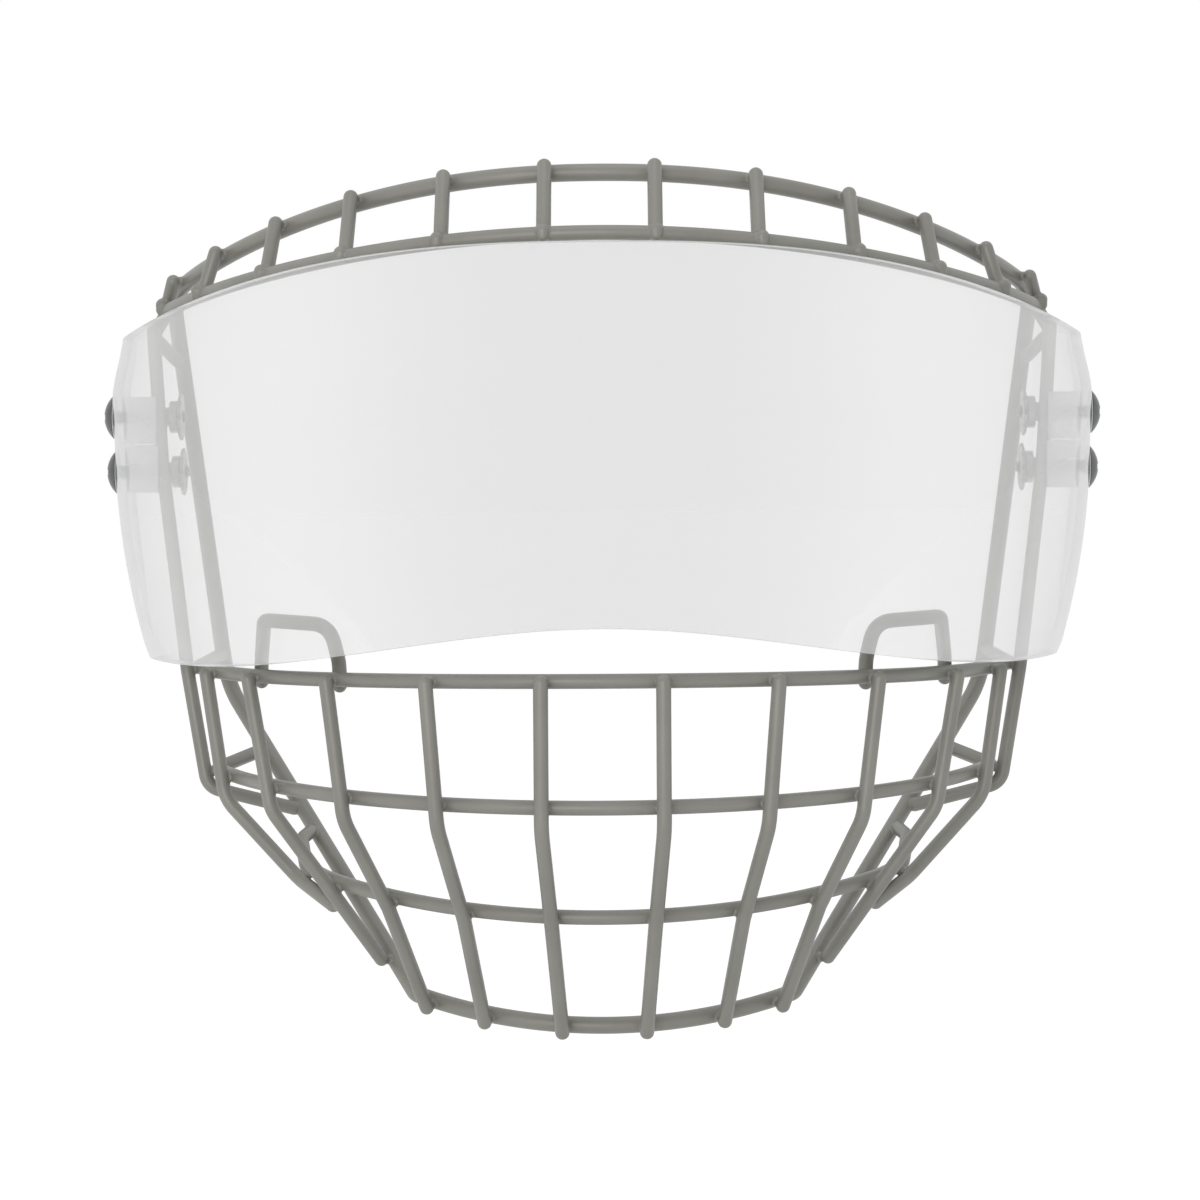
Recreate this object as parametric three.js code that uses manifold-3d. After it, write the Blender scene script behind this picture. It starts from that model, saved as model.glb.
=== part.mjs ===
import Module from "manifold-3d";
import * as THREE from "three";
import { mergeVertices } from "three/addons/utils/BufferGeometryUtils.js";

// A welded wire face guard with a clear visor over its eye opening, worn on a helmet.
// All sizes are millimetres. The wearer looks along -Y, +X is the wearer's left and +Z is up.
// The origin lies on the mid plane, level with the middle of the two visor screws of each side.

// Wire stock
const wireDiameter = 3.4;
const perimeterDiameter = 4;
const weldGap = 0.3;

// Seen from above, every front wire is part of an ellipse about this line behind the screws
const planCentre = 40;

// Widths at the temples are given inward or outward from the tops of the side wires
const sideTopHalfWidth = 111.5;
const templeInset = 3.1;
const browInset = 1.5;
const lowerBrowOutset = 2.2;
const browCornerOutset = 0.9;

// Top brow wire, the upper run of the perimeter
const browReach = 84;
const browLevel = 62.7;
const browDrop = 25.9;
const browDropPower = 2.2;

// Lower brow wire, just inside the top edge of the visor
const lowerBrowReach = 99.5;
const lowerBrowLevel = 48.4;
const lowerBrowDrop = 16.8;

// Upper, middle and lower wires of the cage below the visor
const upperSpread = 106.1;
const upperReach = 110;
const upperLevel = -52.1;
const upperDrop = 3.75;
const middleSpread = 102.3;
const middleReach = 109;
const middleLevel = -80.7;
const middleRise = 0.4;
const lowerSpread = 88.9;
const lowerReach = 95.2;
const lowerLevel = -107.2;
const lowerRise = 7.4;

// Chin wire, the lower run of the perimeter
const chinSpread = 80.8;
const chinReach = 74;
const chinLevel = -135.3;
const chinRise = 15.3;

// Side runs of the perimeter: temple corner, straight run, jaw bend, diagonal to the chin
const templeSetback = 13;
const templeLevel = 37;
const templeBend = 12;
const jawHalfWidth = 96.4;
const jawSetback = 19.5;
const jawLevel = -61.5;
const jawBend = 16;
const chinBend = 7;

// Outer side wires, which run down past the screws to the corner of the middle wire
const sideTopLevel = 28;
const sideHalfWidth = 109.6;
const sideBendDrop = 6;
const sideTurnDrop = 3.8;
const sideEndDrop = 10.3;
const sideLowBend = 5;

// Ends of the lower brow wire and of the lower cage wire
const browCornerSetback = 1.9;
const browCornerLevel = 27;
const browCornerBend = 6;
const browEndLevel = 19.5;
const hookHalfWidth = 72.2;
const hookReach = 38;
const hookLevel = -102;
const heelHalfWidth = 74.2;
const heelReach = 26;
const heelLevel = -96.5;
const hookBend = 8;
const hookEndLevel = -94.8;

// Upright wires: tails past the last wire they cross, kink below the middle wire
const chinTail = 0.4;
const tieTail = 0.7;
const kinkDrop = 4.8;
const kinkBend = 10;
const gentleBend = 8;

// Support loops behind the lower edge of the visor
const loopLevel = -40.6;
const loopInnerLean = 4.6;
const loopOuterLean = 0.9;
const loopBend = 5;
const loopTail = 1.6;

// Visor
const visorThickness = 2.4;
const visorTopSink = 1.9;
const visorTopDrop = 20.2;
const visorFrontClear = 12.1;
const visorSideDip = 12.7;
const visorFrontStandoff = 4.7;
const visorUpperStandoff = 3.05;
const visorLowerStandoff = 6.4;
const visorSetback = 14;
const visorSeatReach = 6;
const visorLowerSweep = 28;
const visorUpperSweep = 9;
const visorCorner = 4;
const visorEase = 0.2;

// Screws, washers, spacers and T-nuts
const screwSpacing = 13.7;
const screwDiameter = 3;
const screwClearance = 0.3;
const headDiameter = 10.7;
const headHeight = 1.9;
const recessWidth = 1.3;
const recessLength = 4.6;
const recessDepth = 1.1;
const tipLength = 1;
const clearWasherDiameter = 11.2;
const clearWasherThickness = 0.4;
const visorHoleClearance = 0.4;
const spacerInset = 0.9;
const spacerDepth = 7.5;
const spacerSplit = 0.4;
const spacerMargin = 5.05;
const spacerFrontWall = 1;
const spacerBack = 6.5;
const barrelDiameter = 4.8;
const barrelReach = 6.25;
const flangeDiameter = 11.8;
const flangeThickness = 1;
const innerWasherDiameter = 8;
const innerWasherThickness = 2;

// Crossing places, as shares of a wire's spread from the mid plane outward
const upperCrossShares = [0.1235, 0.36, 0.575, 0.7606, 0.8756];
const middleCrossShares = [0.128, 0.353, 0.5646, 0.745, 0.873];
const lowerCrossShares = [0.126, 0.343, 0.54, 0.695];
const chinCrossShares = [0.1135, 0.326, 0.488];
const tieTopShares = [0.11, 0.313, 0.505, 0.6695, 0.8115, 0.929];
const tieFootShares = [0.111, 0.3175, 0.516, 0.6895, 0.845, 0.956];
const upperCornerShare = 0.938;
const middleCornerShare = 0.9307;
const browEndShare = 0.95;
const lowerBrowEndShare = 0.947;
const lowerEndShare = 0.74;
const chinEndShare = 0.557;
const loopShares = [0.6, 0.8];

// Where the fourth upright ends on the jaw diagonal, and where the fifth meets the fourth
const fourthEndShare = 0.895;
const fifthEndShare = 0.2;
const fifthCrossShare = 0.79;

// How far the fourth upright lies beside the jaw diagonal, as a share of its distance
const asideShare = 0.56;

// Places across a clear washer where it clears the visor
const clearWasherShares = [-1, -0.5, 0, 0.5, 1];

// Shape of the visor: roundness seen from above, dip of its edges, levels between which its
// sides draw in toward the temple corners, places of mesh rows
const visorRoundShare = 0.72;
const visorTopPower = 2.6;
const visorDipShare = 0.95;
const visorLowerPower = 5.5;
const visorUpperPower = 6;
const visorDrawnShares = [0.35, 1.15];
const visorRowShares = [0, 0.04, 0.1, 0.2, 0.35, 0.5, 0.65, 0.8, 0.9, 0.95, 0.975, 0.99, 1];

// Counts of facets and steps
const wireSides = 8;
const turnedSides = 20;
const archSteps = 28;
const bendSteps = 4;
const visorColumns = 36;
const visorSideColumns = 2;

const wasm = await Module();
wasm.setup();

const wireRadius = wireDiameter / 2;
const perimeterRadius = perimeterDiameter / 2;
const wireSeat = wireDiameter + weldGap;
const perimeterSeat = wireRadius + perimeterRadius + weldGap;
const templeHalfWidth = sideTopHalfWidth - templeInset;
const browSpread = sideTopHalfWidth - browInset;
const lowerBrowSpread = sideTopHalfWidth + lowerBrowOutset;
const browCornerHalfWidth = sideTopHalfWidth + browCornerOutset;

const metal = { color: 0x7d7a72, metalness: 0.25, roughness: 0.55 };
const guard = new THREE.Group();

// Adds one named piece to the guard
function add(name, geometry, look) {
  const mesh = new THREE.Mesh(geometry, new THREE.MeshStandardMaterial(look));
  mesh.name = name;
  guard.add(mesh);
  return mesh;
}

// Turns the faces of a closed shape outward
function facingOut(geometry) {
  const place = geometry.getAttribute("position");
  const corners = Array.from(geometry.index.array);
  const at = (corner) => new THREE.Vector3().fromBufferAttribute(place, corner);
  let volume = 0;
  for (let i = 0; i < corners.length; i += 3) {
    volume += at(corners[i]).dot(at(corners[i + 1]).cross(at(corners[i + 2])));
  }
  if (volume < 0) corners.reverse();
  geometry.setIndex(corners);
  return geometry;
}

// A closed shape with shared corners and without empty triangles
function welded(geometry) {
  geometry.deleteAttribute("normal");
  geometry.deleteAttribute("uv");
  const shared = mergeVertices(geometry);
  const kept = [];
  const corners = shared.index.array;
  for (let i = 0; i < corners.length; i += 3) {
    const [a, b, c] = corners.slice(i, i + 3);
    if (a !== b && b !== c && c !== a) kept.push(a, b, c);
  }
  shared.setIndex(kept);
  return facingOut(shared);
}

function fromLists(places, corners) {
  const geometry = new THREE.BufferGeometry();
  geometry.setAttribute("position", new THREE.Float32BufferAttribute(places, 3));
  geometry.setIndex(corners);
  return geometry;
}

function solid(geometry) {
  const shape = welded(geometry.clone());
  const vertProperties = new Float32Array(shape.getAttribute("position").array);
  const triVerts = new Uint32Array(shape.index.array);
  return new wasm.Manifold(new wasm.Mesh({ numProp: 3, vertProperties, triVerts }));
}

function cut(body, ...tools) {
  const left = tools.reduce((whole, tool) => whole.subtract(solid(tool)), solid(body));
  const mesh = left.getMesh();
  return fromLists(Array.from(mesh.vertProperties), Array.from(mesh.triVerts));
}

function mirrored(geometry) {
  return facingOut(geometry.clone().scale(-1, 1, 1));
}

// Adds a piece on the wearer's left and its mirror image on the right
function addPair(name, geometry, look) {
  add(`${name}_left`, geometry, look);
  add(`${name}_right`, mirrored(geometry), look);
}

// A round wire along a list of points; an open end is domed or cut square
function wire(points, diameter, { closed = false, domeStart = false, domeEnd = false } = {}) {
  const count = points.length;
  const link = (i) => points[(i + 1) % count].clone().sub(points[i % count]).normalize();
  const tangents = points.map((point, i) => {
    if (!closed && i === 0) return link(0);
    if (!closed && i === count - 1) return link(count - 2);
    return link((i + count - 1) % count).add(link(i)).normalize();
  });
  const sideways = Math.abs(tangents[0].x) < Math.SQRT1_2 ? "x" : "z";
  const start = new THREE.Vector3();
  start[sideways] = 1;
  start.addScaledVector(tangents[0], -start.dot(tangents[0])).normalize();
  const normals = [start];
  const turn = new THREE.Quaternion();
  for (let i = 1; i < count; i += 1) {
    turn.setFromUnitVectors(tangents[i - 1], tangents[i]);
    normals.push(normals[i - 1].clone().applyQuaternion(turn));
  }
  let twist = 0;
  if (closed) {
    turn.setFromUnitVectors(tangents[count - 1], tangents[0]);
    const last = normals[count - 1].clone().applyQuaternion(turn);
    twist = Math.atan2(tangents[0].dot(last.clone().cross(start)), last.dot(start));
  }
  const rings = points.map((point, i) => ({
    centre: point,
    tangent: tangents[i],
    normal: normals[i].clone().applyAxisAngle(tangents[i], (twist * i) / count),
    radius: diameter / 2,
  }));
  if (domeStart) rings.unshift(domeRing(rings[0], -1));
  if (domeEnd) rings.push(domeRing(rings[rings.length - 1], 1));
  const places = [];
  const corners = [];
  for (const { centre, tangent, normal, radius } of rings) {
    const across = tangent.clone().cross(normal);
    for (let side = 0; side < wireSides; side += 1) {
      const angle = (2 * Math.PI * side) / wireSides;
      const spot = centre.clone();
      spot.addScaledVector(normal, radius * Math.cos(angle));
      spot.addScaledVector(across, radius * Math.sin(angle));
      places.push(spot.x, spot.y, spot.z);
    }
  }
  const spans = closed ? rings.length : rings.length - 1;
  for (let ring = 0; ring < spans; ring += 1) {
    for (let side = 0; side < wireSides; side += 1) {
      const a = ring * wireSides + side;
      const b = ring * wireSides + ((side + 1) % wireSides);
      const c = ((ring + 1) % rings.length) * wireSides + side;
      const d = ((ring + 1) % rings.length) * wireSides + ((side + 1) % wireSides);
      corners.push(a, b, c, b, d, c);
    }
  }
  if (!closed) {
    const apex = (ring, way, domed) => {
      const height = domed ? (diameter / 2) * (1 - Math.SQRT1_2) : 0;
      const tip = ring.centre.clone().addScaledVector(ring.tangent, way * height);
      places.push(tip.x, tip.y, tip.z);
      return places.length / 3 - 1;
    };
    const first = apex(rings[0], -1, domeStart);
    const last = apex(rings[rings.length - 1], 1, domeEnd);
    const lastRing = (rings.length - 1) * wireSides;
    for (let side = 0; side < wireSides; side += 1) {
      const next = (side + 1) % wireSides;
      corners.push(first, next, side);
      corners.push(last, lastRing + side, lastRing + next);
    }
  }
  return facingOut(fromLists(places, corners));
}

// The ring half way up the dome on a wire's end
function domeRing(ring, way) {
  const centre = ring.centre.clone();
  centre.addScaledVector(ring.tangent, way * ring.radius * Math.SQRT1_2);
  return { ...ring, centre, radius: ring.radius * Math.SQRT1_2 };
}

// Straight lengths through a list of corners, each inner corner bent to its own radius
function bent(corners, radii) {
  const path = [corners[0].clone()];
  for (let i = 1; i < corners.length - 1; i += 1) {
    const back = corners[i - 1].clone().sub(corners[i]);
    const on = corners[i + 1].clone().sub(corners[i]);
    const half = back.angleTo(on) / 2;
    const wanted = radii[i - 1] / Math.tan(half);
    const reach = Math.min(wanted, back.length() * 0.48, on.length() * 0.48);
    const from = corners[i].clone().addScaledVector(back.normalize(), reach);
    const to = corners[i].clone().addScaledVector(on.normalize(), reach);
    const steps = half > Math.PI * 0.46 ? 2 : bendSteps;
    path.push(...new THREE.QuadraticBezierCurve3(from, corners[i], to).getPoints(steps));
  }
  path.push(corners[corners.length - 1].clone());
  return path;
}

// A front wire: where it lies at a share of its spread, and which way is outward there
function frontWire(spread, reach, level, rise, power = 2) {
  const depth = planCentre + reach;
  const at = (share) => new THREE.Vector3(
    share * spread,
    planCentre - depth * Math.sqrt(1 - share * share),
    level + rise * Math.abs(share) ** power,
  );
  const out = (share) => {
    return new THREE.Vector3(share / spread, -Math.sqrt(1 - share * share) / depth, 0).normalize();
  };
  const tangent = (share) => at(share + 0.001).sub(at(share - 0.001)).normalize();
  // Centre of another wire that crosses this one on its outside, touching at the given seat
  const over = (share, seat, direction) => {
    const aside = tangent(share).cross(direction).normalize();
    return at(share).addScaledVector(aside, seat * Math.sign(aside.dot(out(share))));
  };
  const run = (from, to, steps) => {
    return Array.from({ length: steps + 1 }, (_, i) => at(from + ((to - from) * i) / steps));
  };
  return { at, out, tangent, over, run };
}

const brow = frontWire(browSpread, browReach, browLevel, -browDrop, browDropPower);
const lowerBrow = frontWire(lowerBrowSpread, lowerBrowReach, lowerBrowLevel, -lowerBrowDrop);
const upper = frontWire(upperSpread, upperReach, upperLevel, -upperDrop);
const middle = frontWire(middleSpread, middleReach, middleLevel, middleRise);
const lower = frontWire(lowerSpread, lowerReach, lowerLevel, lowerRise);
const chin = frontWire(chinSpread, chinReach, chinLevel, chinRise);

const flipped = (point) => new THREE.Vector3(-point.x, point.y, point.z);
const way = (from, to) => to.clone().sub(from).normalize();

// Puts the mirror image of one end in front of a run, so that both sides match
function bothEnds(run, end) {
  return [...end.map(flipped).reverse(), ...run, ...end];
}

// Perimeter ring
const templeCorner = new THREE.Vector3(templeHalfWidth, templeSetback, templeLevel);
const jawCorner = new THREE.Vector3(jawHalfWidth, jawSetback, jawLevel);
const chinCorner = chin.at(chinEndShare);
const sideAxis = way(templeCorner, jawCorner);
const jawAxis = way(jawCorner, chinCorner);

function onSideRun(level) {
  const share = (templeLevel - level) / (templeLevel - jawLevel);
  return templeCorner.clone().lerp(jawCorner, share);
}

function onJaw(share) {
  return jawCorner.clone().lerp(chinCorner, share);
}

function onJawLevel(level) {
  return onJaw((jawLevel - level) / (jawLevel - chinCorner.z));
}

function perimeterRing() {
  const browRun = brow.run(-browEndShare, browEndShare, archSteps);
  const chinRun = chin.run(chinEndShare, -chinEndShare, archSteps / 2).slice(1, -1);
  const corners = [browRun[browRun.length - 2], browRun[browRun.length - 1]];
  corners.push(templeCorner, jawCorner, chinCorner, chinRun[0]);
  const side = bent(corners, [templeBend, templeBend, jawBend, chinBend]).slice(2, -1);
  const inner = browRun.slice(1, -1);
  const right = side.map(flipped).reverse();
  const path = [...inner, ...side, ...chinRun, ...right];
  add("perimeter_ring", wire(path, perimeterDiameter, { closed: true }), metal);
}

// Stops a wire short of the round wire it butts on, cut square and coming in at any angle
function buttEnd(from, target, axis, radius = perimeterRadius) {
  const along = way(from, target);
  const lean = Math.abs(along.dot(axis));
  const short = (radius + weldGap + wireRadius * lean) / Math.sqrt(1 - lean * lean);
  return target.clone().addScaledVector(along, -short);
}

// Lower brow wire, turned down and back on to the side runs
function lowerBrowWire() {
  const run = lowerBrow.run(-lowerBrowEndShare, lowerBrowEndShare, archSteps);
  const corner = new THREE.Vector3(browCornerHalfWidth, browCornerSetback, browCornerLevel);
  const end = buttEnd(corner, onSideRun(browEndLevel), sideAxis);
  const tail = bent([run[run.length - 1], corner, end], [browCornerBend]).slice(1);
  add("lower_brow_wire", wire(bothEnds(run, tail), wireDiameter), metal);
}

// Where a front wire, going on straight past its corner, turns in toward the perimeter
function turnCorner(front, share, length) {
  const ahead = front.at(share).sub(front.at(share - 0.01)).normalize();
  return front.at(share).addScaledVector(ahead, length);
}

// Upper and middle wires, whose ends turn back on to the perimeter
function upperWire() {
  const run = upper.run(-upperCornerShare, upperCornerShare, archSteps);
  const corner = turnCorner(upper, upperCornerShare, 2 * wireDiameter);
  const end = buttEnd(corner, onSideRun(upper.at(upperCornerShare).z + wireRadius), sideAxis);
  const tail = bent([run[run.length - 1], corner, end], [gentleBend]).slice(1);
  add("upper_cage_wire", wire(bothEnds(run, tail), wireDiameter), metal);
}

function middleWire() {
  const run = middle.run(-middleCornerShare, middleCornerShare, archSteps);
  const corner = turnCorner(middle, middleCornerShare, wireDiameter);
  const end = buttEnd(corner, onJawLevel(middleLevel + perimeterDiameter), jawAxis);
  const tail = bent([run[run.length - 1], corner, end], [browCornerBend]).slice(1);
  add("middle_cage_wire", wire(bothEnds(run, tail), wireDiameter), metal);
}

// Lower wire, whose ends hook up on to the jaw diagonals
const lowerEnd = lower.at(lowerEndShare);
const hook = new THREE.Vector3(hookHalfWidth, -hookReach, hookLevel);
const heel = new THREE.Vector3(heelHalfWidth, -heelReach, heelLevel);

function lowerWire() {
  const run = lower.run(-lowerEndShare, lowerEndShare, archSteps - 6);
  const end = buttEnd(heel, onJawLevel(hookEndLevel), jawAxis);
  const tail = bent([lowerEnd, hook, heel, end], [hookBend, hookBend]).slice(1);
  add("lower_cage_wire", wire(bothEnds(run, tail), wireDiameter), metal);
}

// Short ties that stand on the lower brow wire and pass in front of the top one
function browTies() {
  tieTopShares.forEach((topShare, i) => {
    const footShare = tieFootShares[i];
    const base = lowerBrow.at(footShare);
    const first = brow.over(topShare, perimeterSeat, way(base, brow.at(topShare)));
    const crossing = brow.over(topShare, perimeterSeat, way(base, first));
    const foot = buttEnd(crossing, base, lowerBrow.tangent(footShare), wireRadius);
    const tip = crossing.clone().addScaledVector(way(foot, crossing), tieTail - wireRadius);
    addPair(`brow_tie_${i + 1}`, wire([foot, tip], wireDiameter, { domeEnd: true }), metal);
  });
}

// Where an upright crosses the upper and middle wires, and its kink below them
function upperPart(i) {
  const down = way(upper.at(upperCrossShares[i]), middle.at(middleCrossShares[i]));
  const top = upper.over(upperCrossShares[i], wireSeat, down);
  const mid = middle.over(middleCrossShares[i], wireSeat, down);
  return [top, mid.addScaledVector(way(top, mid), kinkDrop)];
}

const domed = { domeStart: true, domeEnd: true };
const uprightBends = [kinkBend, gentleBend];

// The three inner uprights of a side, from the upper wire to the chin wire
function longUprights() {
  chinCrossShares.forEach((chinShare, i) => {
    const [top, kink] = upperPart(i);
    const lowMark = lower.at(lowerCrossShares[i]);
    const footMark = chin.at(chinShare);
    const low = lower.over(lowerCrossShares[i], wireSeat, way(kink, footMark));
    const foot = chin.over(chinShare, perimeterSeat, way(lowMark, footMark));
    const tip = foot.clone().addScaledVector(way(low, foot), chinTail - wireRadius);
    const path = bent([top, kink, low, tip], uprightBends);
    addPair(`upright_${i + 1}`, wire(path, wireDiameter, domed), metal);
  });
}

// A place on the outside of the jaw diagonal, in front of it and a little below
function besideJaw(share) {
  const aside = new THREE.Vector3(-jawAxis.z, 0, jawAxis.x).normalize();
  const front = jawAxis.clone().cross(aside).normalize();
  if (front.y > 0) front.negate();
  const spot = jawCorner.clone().lerp(chinCorner, share);
  spot.addScaledVector(aside, perimeterSeat * asideShare);
  return spot.addScaledVector(front, perimeterSeat * Math.sqrt(1 - asideShare ** 2));
}

// The fourth upright of a side ends on the jaw diagonal; the fifth passes in front of the
// lower wire's hook and ends behind the fourth
function jawUprights() {
  const [top, kink] = upperPart(3);
  const end = besideJaw(fourthEndShare);
  const low = lower.over(lowerCrossShares[3], wireSeat, way(kink, end));
  addPair("upright_4", wire(bent([top, kink, low, end], uprightBends), wireDiameter, domed), metal);

  const outer = upperPart(4);
  const down = way(low, end);
  const across = new THREE.Vector3(-down.z, 0, down.x).normalize();
  const behind = down.clone().cross(across).normalize();
  if (behind.y < 0) behind.negate();
  const meeting = low.clone().lerp(end, fifthEndShare);
  meeting.addScaledVector(across, wireSeat * asideShare);
  meeting.addScaledVector(behind, wireSeat * Math.sqrt(1 - asideShare ** 2));
  const hookMiddle = lowerEnd.clone().lerp(hook, fifthCrossShare);
  const aside = way(lowerEnd, hook).cross(way(outer[1], meeting)).normalize();
  if (aside.y > 0) aside.negate();
  const pass = hookMiddle.addScaledVector(aside, wireSeat);
  addPair("upright_5", wire(bent([...outer, pass, meeting], uprightBends), wireDiameter, domed), metal);
}

// Side wires: down past the screws, round the corner of the middle wire, in to the jaw
const sideSetback = -(barrelDiameter / 2 + weldGap + wireRadius);
const sideTop = new THREE.Vector3(sideTopHalfWidth, sideSetback, sideTopLevel);
const sideBendPoint = new THREE.Vector3(sideHalfWidth, sideSetback, -sideBendDrop);

function sideCrossings() {
  const down = way(upper.at(upperCornerShare), middle.at(middleCornerShare));
  const atUpper = upper.over(upperCornerShare, wireSeat, down);
  return [atUpper, middle.over(middleCornerShare, wireSeat, down)];
}

function sidePath() {
  const [atUpper, atMiddle] = sideCrossings();
  const turn = atMiddle.clone().addScaledVector(way(atUpper, atMiddle), sideTurnDrop);
  const end = buttEnd(turn, onJawLevel(middleLevel - sideEndDrop), jawAxis);
  const corners = [sideTop, sideBendPoint, atUpper, turn, end];
  return bent(corners, [gentleBend, gentleBend, sideLowBend]);
}

function sideWires() {
  addPair("side_wire", wire(sidePath(), wireDiameter, { domeStart: true }), metal);
}

// Half width of a side wire's centre at a level near the screws
function sideWireAt(level) {
  const share = (sideTopLevel - level) / (sideTopLevel + sideBendDrop);
  return THREE.MathUtils.lerp(sideTopHalfWidth, sideHalfWidth, Math.min(share, 1));
}

// Visor: its outer face at the screws stands off the side wires by the spacers
const spacerInner = sideWireAt(0) + spacerInset;
const visorInner = spacerInner + spacerDepth + weldGap + visorEase;
const visorScrewHalfWidth = visorInner + visorThickness;
const visorScrewOff = visorScrewHalfWidth - sideWireAt(0);
const visorTopOff = wireRadius + visorUpperStandoff + visorThickness;
const visorBottomHalfWidth = sideCrossings()[0].x + wireRadius + visorLowerStandoff + visorThickness;
const visorTopCentre = lowerBrowLevel - visorTopSink;
const visorBottomCentre = upperLevel + visorFrontClear;
const visorTempleTop = visorTopCentre - visorTopDrop;
const visorTempleBottom = visorBottomCentre - visorSideDip;
const visorTopReach = lowerBrowReach + wireRadius + weldGap + visorThickness;
const visorBottomReach = upperReach + visorFrontStandoff;

// Above the screws the visor's sides keep off the leaning side wires, and draw in toward the top
function visorHalfWidth(level) {
  const { lerp, smoothstep } = THREE.MathUtils;
  if (level > 0) {
    const drawnIn = smoothstep(level / visorTempleTop, ...visorDrawnShares);
    return sideWireAt(level) + lerp(visorScrewOff, visorTopOff, drawnIn);
  }
  return lerp(visorScrewHalfWidth, visorBottomHalfWidth, (level / visorTempleBottom) ** 2);
}

function visorReach(level) {
  const { mapLinear } = THREE.MathUtils;
  return mapLinear(level, visorBottomCentre, visorTopCentre, visorBottomReach, visorTopReach);
}

// Outer face of the visor. Across is 0 on the mid plane and 1 where the seats of the screws
// start, and beyond that the side runs straight back.
function visorFace(across, level) {
  const angle = Math.min(Math.abs(across), 1) * (Math.PI / 2);
  const x = Math.sign(across) * visorHalfWidth(level) * Math.sin(angle);
  const bow = visorReach(level) - visorSeatReach;
  const front = -visorSeatReach - bow * Math.max(Math.cos(angle), 0) ** (2 * visorRoundShare);
  const back = Math.max(Math.abs(across) - 1, 0) * (visorSetback + visorSeatReach);
  return new THREE.Vector3(x, front + back, level);
}

function visorNormal(across, level) {
  const step = 0.001;
  const along = visorFace(across + step, level).sub(visorFace(across - step, level));
  const up = visorFace(across, level + visorThickness).sub(visorFace(across, level - visorThickness));
  return along.cross(up).normalize();
}

// How far across a point of the side lies that is this much behind the screws
function acrossAt(setback, level) {
  const past = setback + visorSeatReach;
  if (past >= 0) return 1 + past / (visorSetback + visorSeatReach);
  const cosine = (-past / (visorReach(level) - visorSeatReach)) ** (0.5 / visorRoundShare);
  return Math.acos(cosine) / (Math.PI / 2);
}

function visorTopEdge(share) {
  return visorTopCentre - visorTopDrop * share ** visorTopPower;
}

function visorBottomEdge(share) {
  return visorBottomCentre - visorSideDip * THREE.MathUtils.smoothstep(share, 0, visorDipShare);
}

// Setback of the rear edge, swept forward at both ends and rounded at the top corner
function visorRear(share) {
  const lowerSweep = visorLowerSweep * (1 - share) ** visorLowerPower;
  const upperSweep = visorUpperSweep * share ** visorUpperPower;
  const cornerShare = visorCorner / (visorTempleTop - visorTempleBottom);
  const inCorner = Math.max(share - 1 + cornerShare, 0) / cornerShare;
  const corner = visorCorner * (1 - Math.sqrt(1 - Math.min(inCorner, 1) ** 2));
  return visorSetback - lowerSweep - upperSweep - corner;
}

// Most columns share the bowed front, and the last few at each end the straight side
function acrossColumn(column, limit) {
  const middleColumn = visorColumns / 2;
  const from = Math.abs(column - middleColumn);
  const frontColumns = middleColumn - visorSideColumns;
  const knee = Math.min(1, limit * frontColumns / middleColumn);
  const past = Math.max(from - frontColumns, 0) / visorSideColumns;
  const reached = knee * Math.min(from / frontColumns, 1) + (limit - knee) * past;
  return Math.sign(column - middleColumn) * reached;
}

function visor() {
  const places = [];
  const corners = [];
  const width = visorColumns + 1;
  const rows = visorRowShares.length;
  const faces = [0, -visorThickness];
  for (const depth of faces) {
    for (const share of visorRowShares) {
      const level = THREE.MathUtils.lerp(visorTempleBottom, visorTempleTop, share);
      const limit = acrossAt(visorRear(share), level);
      for (let column = 0; column < width; column += 1) {
        const across = acrossColumn(column, limit);
        const sideShare = Math.sin(Math.min(Math.abs(across), 1) * (Math.PI / 2));
        const bottom = visorBottomEdge(sideShare);
        const height = THREE.MathUtils.lerp(bottom, visorTopEdge(sideShare), share);
        const spot = visorFace(across, height);
        spot.addScaledVector(visorNormal(across, height), depth);
        places.push(spot.x, spot.y, spot.z);
      }
    }
  }
  const at = (face, row, column) => (face * rows + row) * width + column;
  const quad = (a, b, c, d) => corners.push(a, b, c, a, c, d);
  const faceQuad = (column, a, b, c, d) => {
    if (column < visorColumns / 2) quad(b, c, d, a);
    else quad(a, b, c, d);
  };
  for (let row = 0; row < rows - 1; row += 1) {
    for (let column = 0; column < visorColumns; column += 1) {
      const [low, high, next] = [row, row + 1, column + 1];
      faceQuad(column, at(0, low, column), at(0, low, next), at(0, high, next), at(0, high, column));
      faceQuad(column, at(1, low, column), at(1, high, column), at(1, high, next), at(1, low, next));
    }
  }
  for (let column = 0; column < visorColumns; column += 1) {
    const top = rows - 1;
    quad(at(0, 0, column), at(1, 0, column), at(1, 0, column + 1), at(0, 0, column + 1));
    quad(at(0, top, column), at(0, top, column + 1), at(1, top, column + 1), at(1, top, column));
  }
  for (let row = 0; row < rows - 1; row += 1) {
    const end = visorColumns;
    quad(at(0, row, 0), at(0, row + 1, 0), at(1, row + 1, 0), at(1, row, 0));
    quad(at(0, row, end), at(1, row, end), at(1, row + 1, end), at(0, row + 1, end));
  }
  const span = 4 * visorScrewHalfWidth;
  const holes = [-1, 1].map((way) => {
    const hole = new THREE.CylinderGeometry(holeRadius, holeRadius, span, turnedSides);
    return hole.rotateZ(Math.PI / 2).translate(0, 0, (way * screwSpacing) / 2);
  });
  const look = { color: 0xe8eaec, metalness: 0, roughness: 0.05, transparent: true, opacity: 0.35 };
  add("visor", cut(fromLists(places, corners), ...holes), look);
}

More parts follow.
